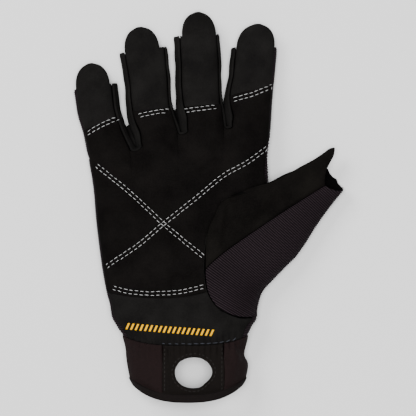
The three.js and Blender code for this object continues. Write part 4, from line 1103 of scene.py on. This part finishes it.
# Thumb
thumb = {"aim": 39.5, "endX": 0.689, "endY": 0.589, "endWidth": 24.6, "endHeight": 17, "endFloor": 3,
         "lean": 1.15, "tongueReach": 10, "mound": 3.5, "seamGap": 0.8, "wristClearance": 0.1,
         "wristFade": 0.1, "firstRung": 0.2, "lastRung": 0.9, "splitRung": 0.65, "farRung": 0.25,
         "splitAngle": 76, "farAngle": 194, "ribAim": 48, "bendFrom": 62, "bendOver": 40, "baseAim": 60,
         "thinWall": 0.25, "wallFrom": 0.5, "wallFade": 0.35, "suedeColumns": 90, "suedeRows": 150,
         "stripColumns": 9, "sideColumns": 46, "underColumns": 50, "ribRows": 160, "perRib": 5,
         "suedeRough": (0.3, 24, 31), "suedeRoll": (0.7, 0.9), "ribRough": (0.2, 26, 41),
         "ribRoll": (0.45, 0.8)}
thumbAxis = np.array([math.cos(math.radians(thumb["aim"])), math.sin(math.radians(thumb["aim"])), 0])
thumbAcross = np.array([-thumbAxis[1], thumbAxis[0], 0])
thumbEnd = np.array([across(thumb["endX"]), along(thumb["endY"])])

# How far the thumb's rim lies past its end plane, in shares of the tongue's reach.
thumbRim = tableOf("angle past",
    (-180, 0), (0, 0), (40, -0.39), (76, -0.66), (98, -0.12), (122, 0.8), (145, 1.08), (163, 1),
    (180, 0.7), (196, 0))


# How far the plain thumb reaches from its axis, filled in before its pieces are made.
thumbReach = {}

# Outer edge of the thumb: how far it is drawn in, by share of its length.
thumbHollow = tableOf("share drawnIn",
    (0, 0.6), (0.1, 3.2), (0.2, 4.8), (0.3, 2.9), (0.4, 0.6), (0.48, -1.2), (0.57, -1.1),
    (0.7, -0.4), (1, 0))

# Upper edge of the thumb: its distance from the thumb's axis, by place along the axis.
thumbUpper = tableOf("place out",
    (-60, 30), (-39, 21.8), (-30.3, 18.4), (-23, 17.2), (-10.9, 14.2), (-1.2, 12.1), (8.9, 11.3),
    (14, 11.5))


# Place along the thumb's axis and distance from it, seen from above.
def thumbPlace(points):
    flat = points[..., :2] - thumbEnd
    return flat @ thumbAxis[:2], flat @ thumbAcross[:2]


# Draws points in by the square of their share of the thumb's own reach, so that its upper
# edge lies on the table's.
def drawnToEdge(points):
    place, out = thumbPlace(points)
    reach = np.interp(place, thumbReach["place"], thumbReach["out"])
    over = reach - readColumn(thumbUpper, "place", "out", place)
    return points - (over * np.clip(out / reach, 0, 1) ** 2)[..., None] * thumbAcross


# Rim of the thumb's end: a superellipse square to its axis, moved along the axis by the
# table's share of the tongue's reach.
def thumbEndPoints(angle):
    turn = np.radians(angle)
    sine, cosine = np.sin(turn), np.cos(turn)
    power = 2 / heights["upperPower"]
    half = (thumb["endHeight"] - thumb["endFloor"]) / 2
    z = thumb["endFloor"] + half * (1 + np.sign(sine) * np.abs(sine) ** power)
    wide = np.sign(cosine) * np.abs(cosine) ** power * thumb["endWidth"] / 2
    past = thumb["tongueReach"] * readColumn(thumbRim, "angle", "past", angle)
    start = np.append(thumbEnd, 0) + np.stack([0 * z, 0 * z, z], -1)
    return start - thumbAcross * wide[..., None] + thumbAxis * past[..., None]


# Distance that the thumb's base keeps from the hand part, a little more near the wrist.
def thumbClearance(rung):
    nearWrist = smooth((rung - thumb["lastRung"] + thumb["wristFade"]) / thumb["wristFade"])
    return thumb["seamGap"] - halfGap + thumb["wristClearance"] * nearWrist


# The thumb's base on the palm's rungs at the palm's height, and on the back's rungs at the
# sides' height, down to the floor behind the thumb.
def thumbPalmBase(rung):
    place = rungRight(palmRungs, rung, thumbClearance(rung))
    return np.concatenate([place, palmHeightAt(place[..., 0], place[..., 1])[..., None]], -1)


def thumbBackBase(rung):
    place = rungRight(backRungs, rung, thumbClearance(rung))
    return np.concatenate([place, (heights["side"] * (1 - behindThumb(rung)))[..., None]], -1)


# Columns of the thumb from base points to the angles they run to at the end: share (S, C).
def thumbColumns(base, angle, share):
    end = thumbEndPoints(angle)
    upward = np.maximum(0, np.sin(np.radians(angle)))
    points = base[None] + (end - base)[None] * share[..., None]
    outer = np.maximum(0, np.cos(np.radians(angle))) ** 2
    hollow = readColumn(thumbHollow, "share", "drawnIn", share)
    points[..., 0] = mix(base[:, 0], end[:, 0], share ** thumb["lean"]) - outer * hollow
    low = np.where(base[:, 2] > end[:, 2], share, smooth(share * 2 - 1))
    raised = points[..., 2] + thumb["mound"] * upward * np.sin(np.pi * share)
    points[..., 2] = np.where(upward > 0, raised, mix(base[:, 2], end[:, 2], low))
    return drawnToEdge(points) if thumbReach else points


# Suede side of the thumb, from the far seam over the tongue to the split. Its columns are laid
# out once to find how far they reach from the axis, and again drawn in to the upper edge.
suedeRung = np.linspace(thumb["firstRung"], thumb["splitRung"], thumb["suedeColumns"])
suedeRun = (suedeRung - thumb["firstRung"]) / (thumb["splitRung"] - thumb["firstRung"])
suedeAngle = mix(180, thumb["splitAngle"], suedeRun)
suedeShare = np.linspace(0, 1, thumb["suedeRows"])[:, None] * np.ones((1, len(suedeRung)))
plainPlace, plainOut = thumbPlace(thumbColumns(thumbPalmBase(suedeRung), suedeAngle, suedeShare))
reachPlaces = np.arange(-60, 16, 2.0)
plainReach = np.array([plainOut[np.abs(plainPlace - x) < 2].max(initial=0) for x in reachPlaces])
edgeReach = readColumn(thumbUpper, "place", "out", reachPlaces)
thumbReach.update({"place": reachPlaces, "out": np.where(plainReach > 0, plainReach, edgeReach)})
suedeColumns = thumbColumns(thumbPalmBase(suedeRung), suedeAngle, suedeShare)
suedeColumns[:, -1] += thumbAcross * halfGap
farBase = thumbBackBase(np.array([thumb["farRung"]]))
farColumn = thumbColumns(farBase, np.array([thumb["farAngle"]]), suedeShare[:, :1]) + thumbAcross * halfGap
between = np.linspace(0, 1, thumb["stripColumns"])[None, :-1, None]
thumbPalmGrid = np.concatenate([mix(farColumn, suedeColumns[:, :1], between), suedeColumns], 1)
thumbSurface = joinGrids(np.swapaxes(thumbPalmGrid, 0, 1)[::-1])
thumbCreases = tableOf("from to width depth",
    ((9, 6), (5, -30), 2.6, 1.2), ((14, 8), (9, -18), 2.8, -1.2), ((30, 14), (52, 22), 5, -0.8),
    ((18, -6), (36, 8), 4, 1.1), ((22, -12), (44, 4), 3, -1), ((6, -30), (20, -22), 3, -0.8))
thumbShape = (rough(thumbSurface["points"], *thumb["suedeRough"])
              + creases(thumbSurface["points"], thumbCreases))
raiseBy(thumbSurface, fadeAtEdges(thumbSurface, thumbShape))
rollEdges(thumbSurface, *thumb["suedeRoll"])
wallPlace, wallOut = thumbPlace(thumbSurface["points"])
wallShare = wallOut / np.interp(wallPlace, thumbReach["place"], thumbReach["out"])
nearEdge = smooth((wallShare - thumb["wallFrom"]) / thumb["wallFade"])
sheetPiece("glove_thumb_palm", thumbSurface, mix(cloth["sheet"], thumb["thinWall"], nearEdge), thumbSuede,
           ["thumb_palm"])


# Distance along the thumb's bent middle line, counted from its end: the line's station whose
# square plane holds the point. It turns from the thumb's aim to the base's.
def stationOf(points):
    s = np.linspace(-30, 150, 361)
    bent = smooth((s - thumb["bendFrom"]) / thumb["bendOver"])
    aim = np.radians(mix(thumb["ribAim"], thumb["baseAim"], bent))
    run = np.stack([-np.cos(aim), -np.sin(aim)], -1)
    step = s[1] - s[0]
    line = np.cumsum(run, 0) * step
    line = line - line[np.argmin(np.abs(s))] + thumbEnd
    flatPoints = points.reshape(-1, 2)
    found = []
    for block in np.array_split(flatPoints, max(1, len(flatPoints) * len(s) // blockSize)):
        ahead = ((block[:, None] - line[None]) * run[None]).sum(-1)
        last = np.clip((ahead > 0).sum(1) - 1, 0, len(s) - 1)
        found.append(s[last] + np.take_along_axis(ahead, last[:, None], 1)[:, 0])
    return np.concatenate(found).reshape(points.shape[:-1])


# Ribbed side: rows lie along the ribs, and each column ends where it meets the base.
upperRung = np.linspace(thumb["splitRung"], thumb["lastRung"], thumb["sideColumns"])
lowerRung = np.linspace(thumb["lastRung"], thumb["farRung"], thumb["underColumns"])[1:]
upperRun = (upperRung - upperRung[0]) / (upperRung[-1] - upperRung[0])
lowerRun = (lowerRung - thumb["lastRung"]) / (thumb["farRung"] - thumb["lastRung"])
ribBase = np.concatenate([thumbPalmBase(upperRung), thumbBackBase(lowerRung)])
ribAngle = np.concatenate([mix(thumb["splitAngle"], 0, upperRun), mix(0, thumb["farAngle"] - 360, lowerRun)])
coarse = np.linspace(0, 1, thumb["ribRows"])[:, None] * np.ones((1, len(ribAngle)))
station = np.minimum.accumulate(stationOf(thumbColumns(ribBase, ribAngle, coarse)[..., :2]), axis=0)
ribRow = np.arange(np.floor(station.min()), np.ceil(station.max()), cloth["ribPitch"] / thumb["perRib"])
ribShare = np.stack([np.interp(ribRow, station[::-1, c], coarse[::-1, c]) for c in range(len(ribAngle))], 1)
thumbBackGrid = thumbColumns(ribBase, ribAngle, ribShare)
thumbBackGrid[:, 0] -= thumbAcross * halfGap
thumbBackGrid[:, -1] -= thumbAcross * halfGap
ribbed = joinGrids(np.swapaxes(thumbBackGrid, 0, 1))
addRibs(ribbed, stationOf(ribbed["points"][:, :2]))
raiseBy(ribbed, fadeAtEdges(ribbed, rough(ribbed["points"], *thumb["ribRough"])))
rollEdges(ribbed, *thumb["ribRoll"])
sheetPiece("glove_thumb_back", ribbed, cloth["sheet"], ribKnit, ["thumb_back"])

# Cuff
cuff = {"columns": 70, "rows": 60, "holeX": -0.076, "holeY": 0.081, "holeWidth": 20.8, "holeHeight": 17.4,
        "perSide": 34, "rings": 30, "flatCorner": 0.1, "flatAngle": -0.75, "flatWidth": 0.45,
        "backDrop": 2.2, "widenOver": 20, "sidePasses": 6, "hemDip": 0.9, "hemDipWidth": 1.6,
        "foldHeight": 0.75, "foldReach": 22, "foldSize": 16, "foldSeed": 51, "foldStretch": 0.4,
        "sideFolds": 0.3, "gatherRise": 1.7, "riseReach": 2, "patchGap": 0.06, "hemTuck": 0.8,
        "wristRise": 0.15, "settle": 6, "edgePower": 1.8, "ringPower": 1.2, "roll": (0.18, 0.5),
        "backSink": 0.1, "backRough": (0.1, 20, 54), "backRoll": (0.6, 0.9)}
cuffBackLeft = leftAt(seams["wrist"]) + heights["underRound"]
cuffBackRight = rightAt(seams["wrist"]) - heights["underRound"]

cuffCreases = tableOf("from to width depth",
    ((11, -72), (18, -87), 2.4, 1.5), ((7, -74), (13, -88), 2.2, -1.1),
    ((18, -74), (21, -86), 2, -1.1), ((9, -68), (16, -74), 1.8, 1.1),
    ((-45, -70), (-34, -79), 2.4, 0.9), ((-46, -78), (-36, -86), 2.6, -0.7))


# Folds of the cuff: soft rises that run up and down, stronger near the wrist seam.
def cuffFolds(points):
    x, y = points[:, 0], points[:, 1]
    down = np.clip((wristSeamAt(x) - y) / cuff["foldReach"], 0, 1) * cuff["foldReach"]
    inside = smooth(np.minimum(x - leftAt(y), rightAt(y) - x) / gather["sideFade"])
    settled = smooth(down / cuff["settle"])
    soft = unevenness(points * np.array([1, cuff["foldStretch"], 1]), cuff["foldSize"], cuff["foldSeed"])
    soft = soft * mix(cuff["sideFolds"], 1, inside) * settled
    dip = cuff["hemDip"] * np.exp(-((y - hemSeamAt(x)) / cuff["hemDipWidth"]) ** 2)
    dip = dip * inside - creases(points, cuffCreases) * settled
    rise = mix(1, cuff["gatherRise"], smooth(down / cuff["riseReach"]))
    return rise * gathers(points) * np.exp(-(down / gather["reach"]) ** 2) + cuff["foldHeight"] * soft - dip


# Place along the glove on a cuff panel, by its share of the way from the wrist seam to the hem.
def cuffAlong(x, share):
    return mix(wristSeamAt(x) + cuff["wristRise"], hemSeamAt(x) - cuff["hemTuck"], share)


# Lays a cuff panel's unevenness and rolled edges, and makes its piece.
def cuffPanel(name, surface, height, roll, material):
    raiseBy(surface, height)
    rollEdges(surface, *roll)
    sheetPiece("glove_" + name, surface, cloth["sheet"], material, [name])


# One side of the cuff, from its seam with the back round the glove's edge to the patch. The
# edge and the rows depend on each other, so they are found in a few passes.
def cuffSideGrid(side):
    isLeft = side == "left"
    under = cuffBackLeft - halfGap if isLeft else cuffBackRight + halfGap
    upper = patchLeft - cuff["patchGap"] if isLeft else patchRight + cuff["patchGap"]
    near = np.linspace(0, 1, cuff["columns"] // 2 + 1) ** cuff["edgePower"]
    shares = np.concatenate([near[::-1], near[1:]])[:, None]
    target = np.concatenate([np.full(len(near), under), np.full(len(near) - 1, upper)])[:, None]
    below = np.arange(len(shares))[:, None] < len(near)
    down = np.linspace(0, 1, cuff["rows"] + 1)[None, :]
    sideLine = mix(seams["wrist"], seams["hem"], down)
    for _ in range(cuff["sidePasses"]):
        edge = leftAt(sideLine) if isLeft else rightAt(sideLine)
        sideLine = cuffAlong(edge, down)
    x = mix(edge, target, shares)
    y = cuffAlong(x, down)
    z = np.where(below, undersideAt(leftAt(y), rightAt(y), x), palmHeightAt(x, y))
    grid = np.stack([x, y, z], -1)
    return grid if isLeft else grid[::-1]


for side in ("left", "right"):
    surface = joinGrids(cuffSideGrid(side))
    cuffPanel("cuff_" + side, surface, cuffFolds(surface["points"]), cuff["roll"], wovenSide)


holeMiddle = (across(cuff["holeX"]), along(cuff["holeY"]))


# Edge of the clip hole: an egg shape, cut a little flatter at its lower right.
def holeEdge(angle):
    flat = 1 - cuff["flatCorner"] * np.exp(-((angle - cuff["flatAngle"]) / cuff["flatWidth"]) ** 2)
    return (holeMiddle[0] + cuff["holeWidth"] / 2 * flat * np.cos(angle),
            holeMiddle[1] + cuff["holeHeight"] / 2 * flat * np.sin(angle))


# Panel with the hole: rings from the hole's edge out to the panel's four sides.
def holedGrid(left, right, heightAt, faceUp, drop=0.0):
    step = np.linspace(0, 1, cuff["perSide"] + 1)[:-1]
    sides = [(step, 0 * step), (0 * step + 1, step), (1 - step, 0 * step + 1), (0 * step, 1 - step)]
    u = np.concatenate([s[0] for s in sides] + [[0]])
    v = np.concatenate([s[1] for s in sides] + [[0]])
    x = mix(left, right, u)
    y = cuffAlong(x, v)
    upward, aside = (y - holeMiddle[1]) / cuff["holeHeight"], (x - holeMiddle[0]) / cuff["holeWidth"]
    holeX, holeY = holeEdge(np.arctan2(upward, aside))
    holeX, holeY = holeX + (holeX - holeMiddle[0]) * drop / cuff["widenOver"], holeY - drop
    ringShare = np.linspace(0, 1, cuff["rings"] + 1)[:, None] ** cuff["ringPower"]
    px, py = mix(holeX, x, ringShare), mix(holeY, y, ringShare)
    grid = np.stack([px, py, heightAt(px, py)], -1)
    return grid if faceUp else grid[::-1]


# The underside's height at a place seen from above.
def lowAt(x, y):
    return undersideAt(leftAt(y), rightAt(y), x)


patchGrid = holedGrid(patchLeft + cuff["patchGap"], patchRight - cuff["patchGap"], palmHeightAt, True)
patchSurface = joinGrids(patchGrid)
patchRise = cuffFolds(patchSurface["points"])
cuffPanel("cuff_patch", patchSurface, patchRise, cuff["roll"], wovenPatch)
backGrid = holedGrid(cuffBackLeft + halfGap, cuffBackRight - halfGap, lowAt, False, cuff["backDrop"])
cuffBack = joinGrids(backGrid)
backRise = -cuff["backSink"] + rough(cuffBack["points"], *cuff["backRough"])
cuffPanel("cuff_back", cuffBack, backRise, cuff["backRoll"], wovenSide)

# Binding: a rounded band swept round the hem.
binding = {"height": seams["bindingHeight"], "thickness": 2.4, "proud": 0.6, "taper": 2.4, "stations": 300,
           "around": 16, "roundness": 0.5}
hemTurn = np.linspace(0, 2 * np.pi, binding["stations"], endpoint=False)
hemLeft, hemRight = leftAt(seams["hem"]), rightAt(seams["hem"])
hemX = (hemLeft + hemRight) / 2 - (hemRight - hemLeft) / 2 * np.cos(hemTurn)
hemY = hemSeamAt(hemX)
hemZ = np.where(hemTurn <= np.pi, palmHeightAt(hemX, hemY), undersideAt(hemLeft, hemRight, hemX))
outward = np.stack([-(np.roll(hemZ, -1) - np.roll(hemZ, 1)), np.roll(hemX, -1) - np.roll(hemX, 1)], -1)
outward /= np.maximum(np.linalg.norm(outward, axis=1, keepdims=True), 1e-9)
bandTurn = np.linspace(0, 2 * np.pi, binding["around"] + 1)


# Squares a circle's cosine or sine: its size to a power below one, with its own sign.
def squared(value):
    return np.sign(value) * np.abs(value) ** binding["roundness"]


bandOut = binding["proud"] - binding["thickness"] / 2 * (1 - squared(np.cos(bandTurn)))
bandDown = halfGap + (binding["height"] - halfGap) / 2 * (1 - squared(np.sin(bandTurn)))
taper = binding["taper"] * np.abs((hemX - (hemLeft + hemRight) / 2) / ((hemRight - hemLeft) / 2)) ** 3
inward = (bandDown[None, :] / binding["height"]) * (taper * np.sign((hemLeft + hemRight) / 2 - hemX))[:, None]
band = np.stack([hemX[:, None] + outward[:, :1] * bandOut + inward,
                 hemY[:, None] - bandDown[None, :] + 0 * hemX[:, None],
                 hemZ[:, None] + outward[:, 1:] * bandOut], -1)
bandSurface = joinGrids(np.concatenate([band, band[:1]]))
bandSurface["points"][:, 2] = np.maximum(bandSurface["points"][:, 2], 0)
bandMesh = makeMesh("glove_hem_binding", bandSurface["points"] + shift, bandSurface["quads"],
                    bandSurface["cloth"], [bindingTape])
placePiece("glove_hem_binding", bandMesh, ["hem_binding"])

# Dark seam stitches on the cuff and binding, and the long wrist stitches: what differs from the
# white ones, and how far each row lies from its seam.
bindingStitch = dict(whiteStitch, pitch=2.1, length=1.7, thread=0.4, tilt=0.04)
wristStitch = dict(whiteStitch, pitch=3.6, length=3.1, thread=0.5, tilt=0.03)
seamStitch = dict(whiteStitch, pitch=2.4, length=1.9, thread=0.35, tilt=0.03)
seamRows = {"hemRows": (1.3, 3.3), "hemSkip": 12, "hemEvery": 6, "wristRise": 1.2, "wristFrom": -26,
            "wristTo": 16, "patchInset": 1.2, "patchEnds": 1, "holeWider": 1.16, "holeTaller": 1.19}
kept = slice(seamRows["hemSkip"], binding["stations"] // 2 - seamRows["hemSkip"], seamRows["hemEvery"])
hemPath = np.stack([hemX[kept], hemY[kept]], -1)
stitchRows("binding_stitches", [hemPath - np.array([0, drop]) for drop in seamRows["hemRows"]], bandSurface,
           bindingStitch, (0,), bindingThread, 21)
wristPath = [(x, float(wristSeamAt(x)) + seamRows["wristRise"])
             for x in np.linspace(seamRows["wristFrom"], seamRows["wristTo"], 12)]
stitchRows("wrist_stitches", [wristPath], palmSurface, wristStitch, (0,), blueThread, 22)
patchTop = float(wristSeamAt(patchLeft)) - seamRows["patchEnds"]
patchBottom = float(hemSeamAt(patchLeft)) + seamRows["patchEnds"]
patchPaths = [[(x, patchTop), (x, (patchTop + patchBottom) / 2), (x, patchBottom)]
              for x in (patchLeft + seamRows["patchInset"], patchRight - seamRows["patchInset"])]
stitchRows("patch_stitches", patchPaths, patchSurface, seamStitch, (0,), darkThread, 23)
ringX, ringY = holeEdge(np.linspace(-np.pi, np.pi, 60))
ringPath = np.stack([holeMiddle[0] + (ringX - holeMiddle[0]) * seamRows["holeWider"],
                     holeMiddle[1] + (ringY - holeMiddle[1]) * seamRows["holeTaller"]], -1)
stitchRows("hole_stitches", [ringPath], patchSurface, seamStitch, (0,), darkThread, 24)

# Plain printed row of even slanted yellow strokes on the wrist.
mark = {"from": (-45.4, -66), "to": (3.4, -69.6), "bars": 19, "barWidth": 1.1, "barHeight": 3.6, "lift": 0.12,
        "thickness": 0.25, "steps": 6, "slant": 0.35, "endGap": 0.02}
markStart, markEnd = np.array(mark["from"]), np.array(mark["to"])
markRun = (markEnd - markStart) / np.linalg.norm(markEnd - markStart)
u = np.linspace(-0.5, 0.5, mark["steps"] + 1)[None, :, None] * mark["barWidth"]
v = np.linspace(0.5, -0.5, mark["steps"] + 1)[:, None, None] * mark["barHeight"]
square = (u + mark["slant"] * v) * markRun + v * np.array([-markRun[1], markRun[0]])
centres = np.linspace(mark["endGap"], 1 - mark["endGap"], mark["bars"])[:, None]
places = (markStart + (markEnd - markStart) * centres)[:, None, None] + square[None]
markHeight, _ = surfaceAt(palmSurface, places.reshape(-1, 2))
printed = np.concatenate([places.reshape(-1, 2), (markHeight + mark["lift"])[:, None]], 1)
bars = joinGrids(*[grid[::-1] for grid in printed.reshape(places.shape[:3] + (3,))])
printFinish = dict(threadFinish, gloss=0.05)
yellow = napMaterial("yellow_print", (232, 166, 0), (252, 190, 0), 400.0, 2500.0, printFinish)
sheetPiece("wrist_mark", bars, mark["thickness"], yellow, [])

# Floor, light and camera
studio = {"floorHalf": 3, "floorTone": 0.93, "floorRoughness": 0.9, "floorGloss": 0.1, "sky": 0.4}
reachOut = studio["floorHalf"]
floorMesh = bpy.data.meshes.new("floor")
floorMesh.from_pydata([(-reachOut, -reachOut, 0), (reachOut, -reachOut, 0), (reachOut, reachOut, 0),
                       (-reachOut, reachOut, 0)], [], [(0, 1, 2, 3)])
floorMaterial = bpy.data.materials.new("pale_floor")
floorMaterial.use_nodes = True
floorShader = floorMaterial.node_tree.nodes["Principled BSDF"]
floorShader.inputs["Base Color"].default_value = (studio["floorTone"],) * 3 + (1,)
floorShader.inputs["Roughness"].default_value = studio["floorRoughness"]
floorShader.inputs["Specular IOR Level"].default_value = studio["floorGloss"]
floorMesh.materials.append(floorMaterial)
floor = bpy.data.objects.new("floor", floorMesh)
bpy.context.collection.objects.link(floor)

world = bpy.data.worlds.new("studio")
bpy.context.scene.world = world
world.use_nodes = True
world.node_tree.nodes["Background"].inputs["Color"].default_value = (1, 1, 1, 1)
world.node_tree.nodes["Background"].inputs["Strength"].default_value = studio["sky"]

lamps = [
    {"name": "top", "place": (0.0, 0.0, 1.6), "size": 0.6, "power": 29},
    {"name": "key", "place": (-0.8, 0.7, 1.2), "size": 0.7, "power": 14},
]
for row in lamps:
    lamp = bpy.data.lights.new(row["name"], "AREA")
    lamp.shape, lamp.size, lamp.energy = "SQUARE", row["size"], row["power"]
    holder = bpy.data.objects.new(row["name"], lamp)
    holder.location = row["place"]
    holder.rotation_euler = (-Vector(row["place"])).to_track_quat("-Z", "Y").to_euler()
    bpy.context.collection.objects.link(holder)

photo = {"lens": 200, "sensor": 36, "width": 233.1, "middle": (0.28, -0.28), "plane": 13}
camera = bpy.data.cameras.new("camera")
camera.lens = photo["lens"]
camera.sensor_width = photo["sensor"]
camera.clip_end = 10
viewer = bpy.data.objects.new("camera", camera)
rise = photo["plane"] + photo["width"] * photo["lens"] / photo["sensor"]
viewer.location = Vector(((photo["middle"][0] + shift[0]) / 1000,
                          (photo["middle"][1] + shift[1]) / 1000, rise / 1000))
bpy.context.collection.objects.link(viewer)
bpy.context.scene.camera = viewer

print("scene ready")
